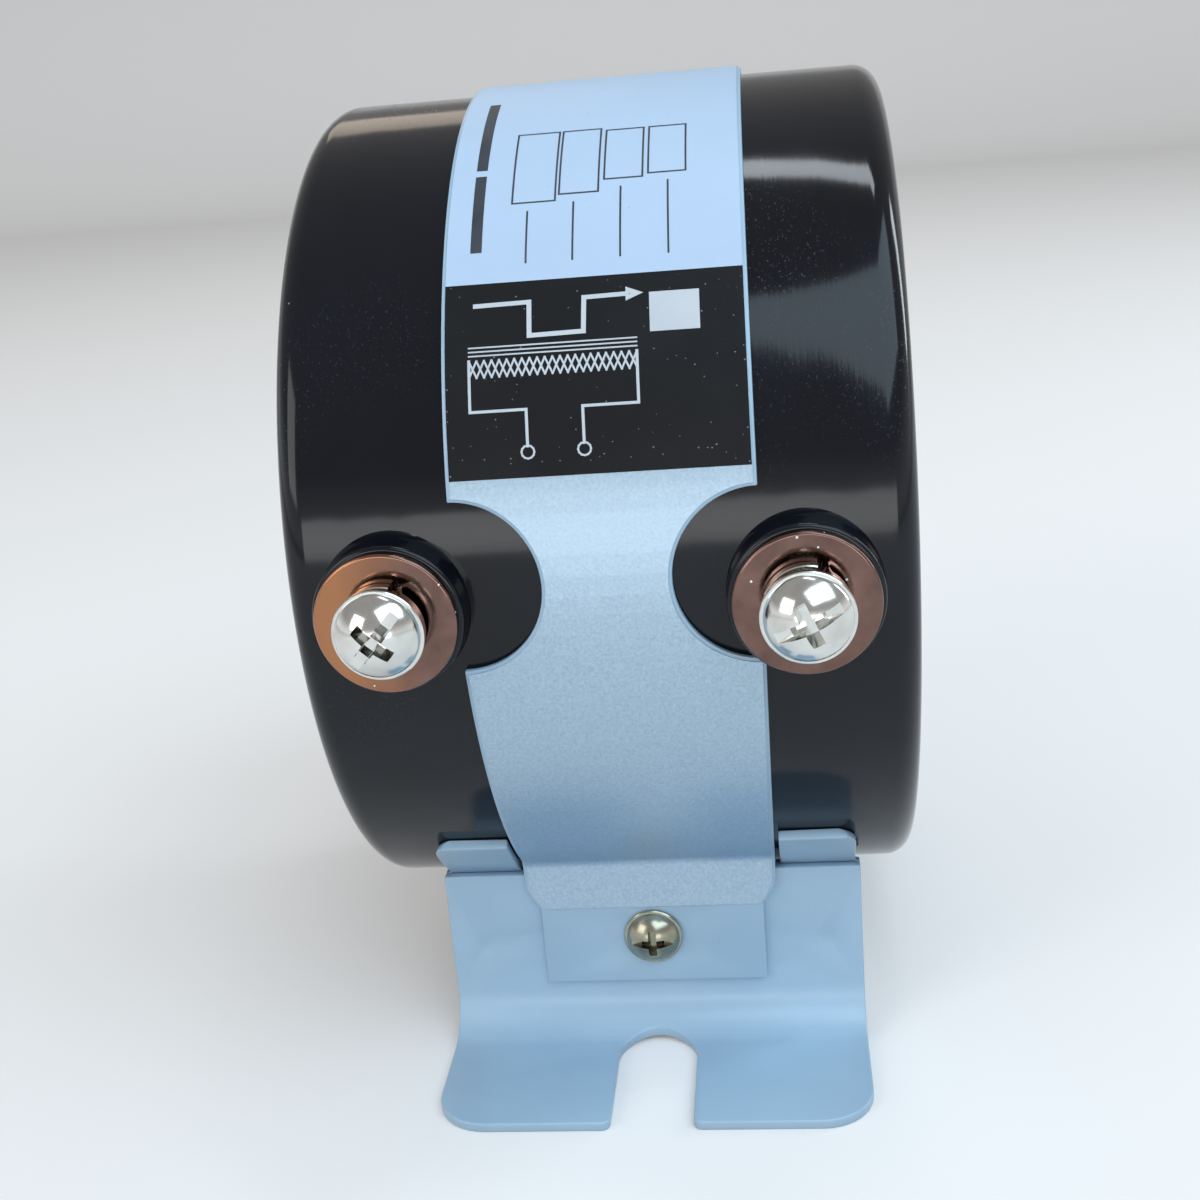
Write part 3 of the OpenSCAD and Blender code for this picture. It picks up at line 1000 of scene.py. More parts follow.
@dataclass(frozen=True)
class Shop:
    """All finishes, made once and shared by the pieces."""

    case: Finish
    cover: Finish
    bracket: Finish
    strap: Finish
    foil: Finish
    white_ink: Finish
    black_ink: Finish
    dark_ink: Finish
    pale_ink: Finish
    washer: Finish
    zinc: Finish
    strap_zinc: Finish
    inner: dict[str, Finish]

    @staticmethod
    def stocked() -> "Shop":
        """Returns: the shop with every finish in it."""
        plain = (1, 1, 1)
        inner = (
            InnerTone("core", "core_steel", (0.34, 0.35, 0.37), (0.2, 0.2, 0.22), 0.35, 1.0, (0.05, 1, 1)),
            InnerTone("board", "pressboard", (0.6, 0.5, 0.32), (0.48, 0.38, 0.22), 0.7, 0.0, plain),
            InnerTone("copper", "enamelled_copper", (0.56, 0.2, 0.07), (0.4, 0.12, 0.04), 0.25, 0.7, plain),
            InnerTone("tape", "winding_tape", (0.76, 0.68, 0.45), (0.65, 0.56, 0.34), 0.5, 0.0, (1, 0.3, 0.3)),
            InnerTone("foam", "foam_pad", (0.09, 0.09, 0.1), (0.04, 0.04, 0.045), 0.9, 0.0, plain),
            InnerTone("lead", "lead_insulation", (0.5, 0.04, 0.03), (0.38, 0.03, 0.02), 0.4, 0.0, plain),
            InnerTone("brass", "insert_brass", (0.72, 0.52, 0.22), (0.58, 0.4, 0.16), 0.3, 1.0, (1, 0.2, 1)),
        )
        bright = (0.78, 0.78, 0.75)
        dull = (0.6, 0.6, 0.57)
        return Shop(
            case=CasePlastic(),
            cover=CoverPlastic(),
            bracket=SheetPaint(),
            strap=StrapPaint(),
            foil=PlateFoil(),
            white_ink=Ink(InkTone(
                "rating field", (0.46, 0.61, 0.8), (0.42, 0.56, 0.74), (0.3, 0.4, 0.52), 0.4, 0.01
            )),
            black_ink=Ink(InkTone(
                "diagram field", (0.004, 0.0045, 0.006), (0.014, 0.015, 0.018), (0.2, 0.22, 0.25),
                0.42, 0.14, 0.2,
            )),
            dark_ink=Ink(InkTone(
                "dark print", (0.03, 0.035, 0.045), (0.1, 0.12, 0.15), (0.3, 0.36, 0.45), 0.45, 0.02
            )),
            pale_ink=Ink(InkTone(
                "pale print", (0.56, 0.62, 0.68), (0.42, 0.47, 0.52), (0.1, 0.11, 0.12), 0.45, 0.02
            )),
            # the dark brown washer colours are a painted reflection of a brown room in the plating
            washer=PaintedReflectionPlate(MetalTone(
                "plated washer", "plated_washer", (0.21, 0.115, 0.09), (0.12, 0.06, 0.048), 0.07, 0.12,
                dust=0.05,
            )),
            zinc=Metal(MetalTone("bright zinc", "zinc_fastener", bright, dull, 0.1, 0.2, dust=0.01)),
            strap_zinc=Metal(MetalTone(
                "strap screw zinc", "zinc_fastener", (0.46, 0.45, 0.36), (0.28, 0.27, 0.2), 0.16, 0.28,
                dust=0.01,
            )),
            inner={tone.name: Inner(tone) for tone in inner},
        )


# ------------------------------------------------------------------ the ring case


@dataclass
class RingCase:
    """The moulded ring case with its two bosses, and the cover of its open side."""

    outer_r: float = 50.0
    window_r: float = 20.0
    half_w: float = 33.2
    wall: float = 4.0
    liner: float = 3.0
    edge: float = 3.0
    window_edge: float = 1.5
    cover_t: float = 3.0
    cover_recess: float = 0.6
    boss_x: float = 21.4
    boss_r: float = 8.0
    boss_h: float = 3.5
    boss_edge: float = 0.5
    boss_flare: float = 1.6
    insert_r: float = 4.02
    steps: int = 180

    def build(self, shop: Shop) -> list[bpy.types.Object]:
        """Makes and dresses the case and its cover.

        Args:
            shop: the finishes.

        Returns:
            The two pieces.
        """
        shell = self._shell()
        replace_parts(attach(shop.case.wear(shell), "root"), "case_shell")
        cover = self._cover()
        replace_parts(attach(shop.cover.wear(cover), "root"), "end_cover")
        return [shell, cover]

    def _section(self) -> list[Point2]:
        """Returns: the half section of the cup, as (radius, x)."""
        r, w, e, we = self.outer_r, self.half_w, self.edge, self.window_edge
        inner, outer = self.window_r + self.liner, r - self.wall
        lip = 0.5
        points = [(outer, w)]
        points += arc((r - e, w - e), e, 90, 0, 10)
        points += [(r, i) for i in (w - 8, w / 2, 0, -w / 2, 8 - w)]
        points += arc((r - e, e - w), e, 0, -90, 10)
        points += [(38, -w), (30, -w)]
        points += arc((self.window_r + we, we - w), we, 270, 180, 6)
        points += [(self.window_r, 0.0)]
        points += arc((self.window_r + we, w - we), we, 180, 90, 6)
        points += [(inner - lip / 2, w), (inner, w - lip / 2)]
        points += [(inner, self.wall - w), (outer, self.wall - w), (outer, w - lip / 2)]
        return without_repeats(points)

    def _shell(self) -> bpy.types.Object:
        """Returns: the cup with its bosses."""
        body = Bench.turned("case_body", self._section(), Axis.X, self.steps)
        bosses = [self._boss(side) for side in (-1, 1)]
        shell = Bench.join("case_body", [body, *bosses])
        Bench.smooth(shell, 35)
        return shell

    def _boss(self, side: int) -> bpy.types.Object:
        """Makes one boss, whose foot flares into the case.

        Args:
            side: -1 for the left boss and 1 for the right.

        Returns:
            The boss, closed at its hidden end.
        """
        top = self.outer_r + self.boss_h
        foot = math.sqrt(self.outer_r**2 - self.boss_r**2)
        flare = self.boss_flare
        root = self.outer_r - 3.2
        profile: list[Point2] = [(self.insert_r, -root), (self.boss_r + 0.2, -root)]
        profile += [(self.boss_r + flare * 0.55, -(foot - 0.75)), (self.boss_r + flare * 0.22, -(foot + 0.1))]
        profile += [(self.boss_r + flare * 0.05, -(foot + 0.7)), (self.boss_r, -(foot + 1.3))]
        rim = (self.boss_r - self.boss_edge, top - self.boss_edge)
        profile += [(across, -along) for across, along in arc(rim, self.boss_edge, 0, 90, 5)]
        profile += [(self.insert_r + 0.3, -top), (self.insert_r, -(top - 0.3))]
        boss = Bench.turned("boss", without_repeats(profile), Axis.Y, 96)
        Bench.move(boss, Matrix.Translation(Vector((side * self.boss_x, 0, 0)) * MM))
        return boss

    def _cover(self) -> bpy.types.Object:
        """Returns: the ring cover, slightly dished, in its recess."""
        inner = self.window_r + self.liner + 0.1
        outer = self.outer_r - self.wall - 0.1
        face = self.half_w - self.cover_recess
        back = face - self.cover_t
        profile = [
            (inner, back), (inner, face - 0.4), (inner + 0.4, face), (inner + 2.0, face),
            (inner + 2.6, face - 0.35), (outer - 2.6, face - 0.35), (outer - 2.0, face),
            (outer - 0.4, face), (outer, face - 0.4), (outer, back),
        ]
        cover = Bench.turned("end_cover_ring", profile, Axis.X, self.steps)
        Bench.smooth(cover, 40)
        return cover


# ------------------------------------------------------------------ sheet metal


@dataclass
class StrapPath:
    """The strap's run, seen from the side: over the ring, round a bend, down the wall."""

    ring_r: float = 50.05
    sheet: float = 0.8
    wall_y: float = 32.0
    bend: float = 2.0
    flat: float = 16.0

    @property
    def outer_r(self) -> float:
        """Outer radius of the strap on the ring."""
        return self.ring_r + self.sheet

    @property
    def bend_y(self) -> float:
        """Distance of the bend's centre in front of the window's axis."""
        return self.wall_y + self.sheet + self.bend

    @property
    def leave(self) -> float:
        """Angle below the terminals at which the strap leaves the ring, in degrees."""
        return math.degrees(math.acos(self.bend_y / (self.outer_r + self.bend)))

    @property
    def bend_z(self) -> float:
        """Height of the bend's centre."""
        return -(self.outer_r + self.bend) * math.sin(math.radians(self.leave))

    def line(self, out: float, top: float, low_z: float, step: float = 2.5) -> list[Point2]:
        """One face of a layer on the strap, from the top down to its lower end.

        Args:
            out: distance outside the strap's outer face, in millimetres.
            top: angle above the terminals where it starts, in degrees.
            low_z: height where it ends.
            step: degrees between points.

        Returns:
            Points as (y, z).
        """
        radius = self.outer_r + out
        count = max(2, round((top + self.leave) / step))
        points = [(-y, -z) for y, z in arc((0, 0), radius, -top, self.leave, count)]
        centre = (-self.bend_y, self.bend_z)
        points += arc(centre, self.bend - out, self.leave, 0, 8)
        points += [(-(self.bend_y - self.bend + out), low_z)]
        return without_repeats(points)


@dataclass
class StrapBand:
    """The painted strap and the printed nameplate on it."""

    path: StrapPath
    width: float = 31.7
    low_width: float = 30.6
    tab_width: float = 27.4
    notch_r: float = 9.1
    notch_lift: float = 2.0
    shoulder_h: float = 2.6
    plate_low: float = 10.4
    plate_margin: float = 0.4
    plate_gap: float = 0.02
    plate_t: float = 0.14
    plate_top: float = 105.0
    screw_rise: float = 6.4
    hole_r: float = 2.3
    edge: float = 0.14

    @property
    def tab_end(self) -> float:
        """Height of the tab's lower edge."""
        return self.path.bend_z - self.path.flat

    @property
    def shoulder_z(self) -> float:
        """Height of the top of the narrow tab."""
        return self.tab_end + self.plate_low

    @property
    def screw_z(self) -> float:
        """Height of the strap screw."""
        return self.tab_end + self.screw_rise

    def build(self, shop: Shop) -> list[bpy.types.Object]:
        """Makes and dresses the strap and the nameplate.

        Args:
            shop: the finishes.

        Returns:
            The two pieces.
        """
        strap = self._band("strap_band")
        Bench.move(strap, OFF_MIDDLE)
        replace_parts(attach(shop.strap.wear(strap), "root"), "strap")
        plate = self._plate("nameplate_foil")
        Bench.move(plate, OFF_MIDDLE)
        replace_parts(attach(shop.foil.wear(plate), "root"), "nameplate")
        return [strap, plate]

    def _outline(self, margin: float) -> list[Vector]:
        """The strap's outline from the front.

        Args:
            margin: how far it is drawn in at each side.

        Returns:
            Its corners, in metres, in the plane y = 0.
        """
        corners = [
            (self.width / 2, 60.0),
            (self.width / 2, self.notch_lift - self.notch_r),
            (self.low_width / 2, self.shoulder_z + self.shoulder_h),
            (self.tab_width / 2, self.shoulder_z),
            (self.tab_width / 2, -62.0),
        ]
        right = [Vector((x - margin, 0, z)) * MM for x, z in corners]
        left = [Vector((margin - x, 0, z)) * MM for x, z in reversed(corners)]
        return right + left

    def _trim(self, obj: bpy.types.Object, margin: float) -> None:
        """Trims a wide band to the outline and cuts the notches.

        Args:
            obj: the band.
            margin: how far the edges are drawn in.
        """
        outline = [p + Vector((0, 80 * MM, 0)) for p in self._outline(margin)]
        Bench.cut(obj, Bench.drawn("outline", outline, Vector((0, -160 * MM, 0))), "INTERSECT")
        for side in (-1, 1):
            Bench.clear()
            bpy.ops.mesh.primitive_cylinder_add(
                vertices=96,
                radius=(self.notch_r + margin) * MM,
                depth=60 * MM,
                location=(side * self.width / 2 * MM, -50 * MM, self.notch_lift * MM),
                rotation=(math.pi / 2, 0, 0),
            )
            Bench.cut(obj, bpy.context.object)

    def _band(self, name: str) -> bpy.types.Object:
        """Makes the strap: both halves, trimmed, drilled and rounded."""
        outer = self.path.line(0.0, 90.0, self.tab_end)
        inner = self.path.line(-self.path.sheet, 90.0, self.tab_end)
        rear_inner = [(-y, z) for y, z in inner[1:]]
        rear_outer = [(-y, z) for y, z in reversed(outer[1:])]
        section = outer + list(reversed(inner)) + rear_inner + rear_outer
        half = (self.width / 2 + 1) * MM
        points = [Vector((-half, y * MM, z * MM)) for y, z in without_repeats(section)]
        band = Bench.drawn(name, points, Vector((2 * half, 0, 0)))
        self._trim(band, 0.0)
        Bench.clear()
        bpy.ops.mesh.primitive_cylinder_add(
            vertices=48,
            radius=self.hole_r * MM,
            depth=120 * MM,
            location=(0, 0, self.screw_z * MM),
            rotation=(math.pi / 2, 0, 0),
        )
        Bench.cut(band, bpy.context.object)
        Bench.tidy(band, 0.01)
        Bench.soften(band, self.edge, 2, 50)
        Bench.smooth(band, 30)
        return band

    def _plate(self, name: str) -> bpy.types.Object:
        """Makes the thin foil of the nameplate."""
        low, high = self.plate_gap, self.plate_gap + self.plate_t
        outer = self.path.line(high, self.plate_top, self.shoulder_z)
        inner = self.path.line(low, self.plate_top, self.shoulder_z)
        half = (self.width / 2 + 1) * MM
        section = outer + list(reversed(inner))
        points = [Vector((-half, y * MM, z * MM)) for y, z in section]
        plate = Bench.drawn(name, points, Vector((2 * half, 0, 0)))
        self._trim(plate, self.plate_margin)
        Bench.tidy(plate, 0.01)
        Bench.smooth(plate, 30)
        return plate


@dataclass
class NameplatePrint:
    """Printed fields and line work on the nameplate, laid flat and then wrapped round it.

    Flat places are (across, up): across runs along X and up is the angle above the terminals.
    """

    radius: float = 51.01
    ink_t: float = 0.02
    half_w: float = 15.42
    field_low: float = 15.0
    field_mid: float = 38.5
    field_top: float = 104.6
    line: float = 0.3
    frame_line: float = 0.2
    core_line: float = 0.16
    conductor_line: float = 0.5
    heading: float = 1.2
    facet: float = 2.0

    def build(self, shop: Shop) -> list[bpy.types.Object]:
        """Makes and dresses the two fields and their line work.

        Args:
            shop: the finishes.

        Returns:
            The printed pieces.
        """
        w = self.half_w
        rating_box = self._box(-w, w, self.field_mid, self.field_top)
        diagram_box = self._box(-w, w, self.field_low, self.field_mid)
        rating = self._patch("rating_field", [rating_box], 0)
        diagram = self._patch("diagram_field", [diagram_box], 0)
        frames = self._patch("rating_lines", self._frames(), 1)
        lines = self._patch("diagram_lines", self._diagram(), 1)
        dressed = (
            (rating, shop.white_ink), (diagram, shop.black_ink),
            (frames, shop.dark_ink), (lines, shop.pale_ink),
        )
        for piece, finish in dressed:
            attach(finish.wear(piece), "root")
        return [rating, diagram, frames, lines]

    def _box(self, x0: float, x1: float, a0: float, a1: float) -> list[Point2]:
        """Returns: the corners of a box between two x and two angles, as flat places."""
        return [(x0, a0), (x1, a0), (x1, a1), (x0, a1)]

    def _stroke(self, start: Point2, end: Point2, width: float) -> list[Point2]:
        """Makes a straight ink line.

        Args:
            start: first end, as (x, angle).
            end: second end.
            width: line width in millimetres.

        Returns:
            Its four corners.
        """
        per = math.radians(1) * self.radius
        dx, dy = end[0] - start[0], (end[1] - start[1]) * per
        size = math.hypot(dx, dy)
        ux, uy = dx / size * width / 2, dy / size * width / 2
        return [
            (start[0] - ux + uy, start[1] + (-uy - ux) / per),
            (end[0] + ux + uy, end[1] + (uy - ux) / per),
            (end[0] + ux - uy, end[1] + (uy + ux) / per),
            (start[0] - ux - uy, start[1] + (-uy + ux) / per),
        ]

    def _run(self, places: Sequence[Point2], width: float) -> list[list[Point2]]:
        """Returns: the strokes that join a row of flat places."""
        return [self._stroke(a, b, width) for a, b in zip(places, places[1:])]

    def _frames(self) -> list[list[Point2]]:
        """Returns: the empty value boxes and their ruled lines in the rating field."""
        shapes: list[list[Point2]] = []
        columns = (
            (-8.7, -4.1, 50.0, 63.5), (-3.7, 0.5, 51.0, 63.5),
            (1.1, 5.2, 53.0, 63.0), (5.8, 9.8, 53.5, 63.0),
        )
        for x0, x1, a0, a1 in columns:
            corners = self._box(x0, x1, a0, a1)
            shapes += self._run(corners + corners[:1], self.frame_line)
        for x, top in ((-7.0, 48.5), (-2.1, 49.5), (2.9, 51.5), (7.9, 52.0)):
            shapes += self._run([(x, 41.0), (x, top)], self.frame_line)
        for low, top in ((43.5, 54.5), (57.0, 73.0)):
            shapes += self._run([(-12.3, low), (-12.3, top)], self.heading)
        return shapes

    def _diagram(self) -> list[list[Point2]]:
        """Returns: the winding diagram in pale lines."""
        left, right, peak, foot = -12.9, 4.4, 28.8, 26.8
        shapes: list[list[Point2]] = []
        conductor = [(-12.2, 35.6), (-6.6, 35.7), (-6.6, 31.5), (-1.0, 31.6), (-0.9, 35.8), (3.6, 35.9)]
        shapes += self._run(conductor, self.conductor_line)
        shapes.append([(3.4, 35.0), (5.2, 35.9), (3.4, 36.8)])
        for angle in (30.4, 29.9, 29.4):
            shapes += self._run([(left, angle), (right, angle)], self.core_line)
        count = 22
        for first, second in ((foot, peak), (peak, foot)):
            step = (right - left) / count
            zigzag = [(left + step * i, second if i % 2 else first) for i in range(count + 1)]
            shapes += self._run(zigzag, self.frame_line)
        bend, end, eye = 22.8, 18.6, 17.9
        for start, x in ((left, -7.1), (right, -1.3)):
            shapes += self._run([(start, peak), (start, bend), (x, bend), (x, end)], self.line)
            ring = arc((0.0, 0.0), 0.66, 0, 360, 12)
            per = math.radians(1) * self.radius
            shapes += self._run([(x + a, eye + b / per) for a, b in ring], self.frame_line)
        shapes.append(self._box(5.8, 10.9, 31.0, 35.9))
        return shapes

    def _patch(
        self, name: str, shapes: Sequence[Sequence[Point2]], layer: int
    ) -> bpy.types.Object:
        """Cuts flat shapes from thin ink and wraps them round the strap.

        Args:
            name: name of the piece.
            shapes: outlines as flat places.
            layer: 0 for a field and 1 for what is printed on it.

        Returns:
            The printed piece.
        """
        per = math.radians(1) * self.radius
        out = layer * (self.ink_t + 0.006)
        parts = []
        for shape in shapes:
            points = [Vector((x, 0, a * per)) * MM for x, a in shape]
            parts.append(Bench.drawn("ink", points, Vector((0, -self.ink_t * MM, 0)), 0.001))
        piece = Bench.join(name, parts)
        rows = [a for shape in shapes for _, a in shape]
        angle = math.floor(min(rows) / self.facet) * self.facet
        while angle <= max(rows):
            Bench.edit(piece)
            bpy.ops.mesh.bisect(plane_co=(0, 0, angle * per * MM), plane_no=(0, 0, 1))
            Bench.close()
            angle += self.facet
        for vertex in piece.data.vertices:
            turn = vertex.co.z / (self.radius * MM)
            reach = (self.radius + out) * MM - vertex.co.y
            vertex.co = Vector((vertex.co.x, -reach * math.cos(turn), reach * math.sin(turn)))
        Bench.tidy(piece, 0.0005)
        Bench.smooth(piece, 20)
        Bench.move(piece, OFF_MIDDLE)
        return piece


@dataclass
class SheetBracket:
    """The two foot plates and the cradle between them."""

    sheet: float = 1.2
    half_w: float = 25.5
    wall_y: float = 32.0
    base_z: float = -63.4
    foot_len: float = 20.3
    foot_bend: float = 5.0
    corner: float = 6.0
    slot_w: float = 9.6
    slot_gap: float = 2.4
    mouth: float = 1.0
    lip_in: float = 50.1
    lip_top: float = 41.75
    lip_inset: float = 0.6
    lip_corner: float = 2.4
    lip_gap: float = 15.95
    crease: float = 0.6
    floor_rise: float = 1.0
    floor_bend: float = 0.8
    screw_z: float = -49.38
    hole_r: float = 2.3
    weld_x: float = 21.0
    weld_drop: float = 1.5
    weld_ball: float = 7.0
    weld_depth: float = 0.14
    edge: float = 0.22

    @property
    def leg_y(self) -> float:
        """Distance of the cradle legs' outer faces from the middle."""
        return self.wall_y - self.sheet

    @property
    def lip_out(self) -> float:
        """Outer radius of the lips."""
        return self.lip_in + self.sheet

    @property
    def crease_z(self) -> float:
        """Height where the lip's outer face meets its leg."""
        return -math.sqrt(self.lip_out**2 - self.leg_y**2)

    @property
    def wall_top(self) -> float:
        """Height of the foot plates' upper edge."""
        return self.crease_z - 0.1

    def build(self, shop: Shop) -> list[bpy.types.Object]:
        """Makes and dresses the bracket's three sheets.

        Args:
            shop: the finishes.

        Returns:
            The cradle, the front foot and the rear foot.
        """
        front = self._foot("foot_plate_front")
        rear = Bench.twin(front, "foot_plate_rear", Matrix.Scale(-1, 4, Vector((0, 1, 0))))
        cradle = self._cradle("cradle_sheet")
        for piece, node in ((cradle, "cradle"), (front, "foot_front"), (rear, "foot_rear")):
            Bench.move(piece, OFF_MIDDLE)
            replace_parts(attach(shop.bracket.wear(piece), "root"), node)
        return [cradle, front, rear]

    def _hole(self, obj: bpy.types.Object) -> None:
        """Drills the strap screw's hole through a piece."""
        Bench.clear()
        bpy.ops.mesh.primitive_cylinder_add(
            vertices=48,
            radius=self.hole_r * MM,
            depth=140 * MM,
            location=(0, 0, self.screw_z * MM),
            rotation=(math.pi / 2, 0, 0),
        )
        Bench.cut(obj, bpy.context.object)

    def _foot(self, name: str) -> bpy.types.Object:
        """Makes the front foot plate: bent, cut to its plan, drilled and rounded."""
        t, b = self.sheet, self.foot_bend
        y_wall, z_foot = -self.wall_y, self.base_z + t
        tip = -(self.wall_y + self.foot_len)
        centre = (y_wall - b, z_foot + b)
        section = [(y_wall + t, self.wall_top), (y_wall, self.wall_top)]
        section += arc(centre, b, 0, -90, 10)
        section += [(tip, z_foot), (tip, self.base_z)]
        section += arc(centre, b + t, -90, 0, 10)
        half = self.half_w * MM
        points = [Vector((-half, y * MM, z * MM)) for y, z in without_repeats(section)]
        foot = Bench.drawn(name, points, Vector((2 * half, 0, 0)))
        plan = [Vector((x, y, -80.0)) * MM for x, y in self._plan(tip)]
        Bench.cut(foot, Bench.drawn("plan", plan, Vector((0, 0, 60 * MM))), "INTERSECT")
        self._hole(foot)
        Bench.tidy(foot, 0.01)
        Bench.soften(foot, self.edge, 3, 50)
        self._dimples(foot)
        Bench.smooth(foot, 30)
        return foot

    def _plan(self, tip: float) -> list[Point2]:
        """The foot's outline from above.

        Args:
            tip: how far it reaches, as y.

        Returns:
            Its corners as (x, y).
        """
        c, w, m = self.corner, self.half_w, self.mouth
        s = self.slot_w / 2
        end_y = -(self.wall_y + self.slot_gap + s)
        right = arc((w - c, tip + c), c, -90, 0, 10)
        left = arc((c - w, tip + c), c, 180, 270, 10)
        points = [(w, 0.0), (-w, 0.0)] + left
        points += arc((-s - m, tip + m), m, -90, 0, 5)
        points += arc((0, end_y), s, 180, 0, 28)
        points += arc((s + m, tip + m), m, 180, 270, 5)
        return without_repeats(points + right)

    def _dimples(self, foot: bpy.types.Object) -> None:
        """Presses two shallow weld marks into the wall's outer face."""
        reach = self.wall_y + self.weld_ball - self.weld_depth
        for side in (-1, 1):
            place = Vector((side * self.weld_x, -reach, self.screw_z - self.weld_drop))
            Bench.clear()
            bpy.ops.mesh.primitive_uv_sphere_add(
                segments=48, ring_count=24, radius=self.weld_ball * MM, location=place * MM
            )
            Bench.cut(foot, bpy.context.object)

    def _lip_side(self) -> tuple[list[Point2], list[Point2]]:
        """Returns: the front half of the cradle's section: its outer face down, its inner face up."""
        t, leg = self.sheet, self.leg_y
        centre_y = leg + self.crease
        reach = self.lip_out + self.crease
        centre_z = -math.sqrt(reach**2 - centre_y**2)
        leave = math.degrees(math.asin(-centre_z / reach))
        bend_z = self.base_z + self.floor_rise + t + self.floor_bend
        inner_foot = math.degrees(math.acos((leg - t) / self.lip_in))
        outer = [(-y, -z) for y, z in arc((0, 0), self.lip_out, self.lip_top, leave, 8)]
        outer += arc((-centre_y, centre_z), self.crease, leave, 0, 6)
        outer += arc((-leg + t + self.floor_bend, bend_z), self.floor_bend + t, 180, 270, 6)
        inner = arc((-leg + t + self.floor_bend, bend_z), self.floor_bend, 270, 180, 6)
        inner += [(-y, -z) for y, z in arc((0, 0), self.lip_in, inner_foot, self.lip_top, 8)]
        return outer, inner

    def _cradle(self, name: str) -> bpy.types.Object:
        """Makes the cradle: a channel whose legs end in curved lips beside the strap."""
        outer, inner = self._lip_side()
        section = outer + [(-y, z) for y, z in reversed(outer)]
        section += [(-y, z) for y, z in reversed(inner)] + inner
        half = self.half_w * MM
        points = [Vector((-half, y * MM, z * MM)) for y, z in without_repeats(section)]
        cradle = Bench.drawn(name, points, Vector((2 * half, 0, 0)))
        top_z = -self.lip_in * math.sin(math.radians(self.lip_top))
        x1, r = self.half_w - self.lip_inset, self.lip_corner
        for side in (-1, 1):
            keep = [(x1 + 3, top_z + 6), (x1 + 3, self.wall_top), (x1, self.wall_top)]
            keep += arc((x1 - r, top_z - r), r, 0, 90, 8) + [(x1 - r, top_z + 6)]
            outline = [Vector((side * x, 80.0, z)) * MM for x, z in keep]
            Bench.cut(cradle, Bench.drawn("corner", outline, Vector((0, -160 * MM, 0))))
        Bench.clear()
        bpy.ops.mesh.primitive_cube_add(size=1, location=(0, 0, (self.wall_top + 15) * MM))
        gap = bpy.context.object
        bpy.ops.transform.resize(value=(2 * self.lip_gap * MM, 160 * MM, 30 * MM))
        Bench.settle(gap)
        Bench.cut(cradle, gap)
        self._hole(cradle)
        Bench.tidy(cradle, 0.01)
        Bench.soften(cradle, self.edge, 3, 50)
        Bench.smooth(cradle, 30)
        return cradle


# ------------------------------------------------------------------ screws and washers


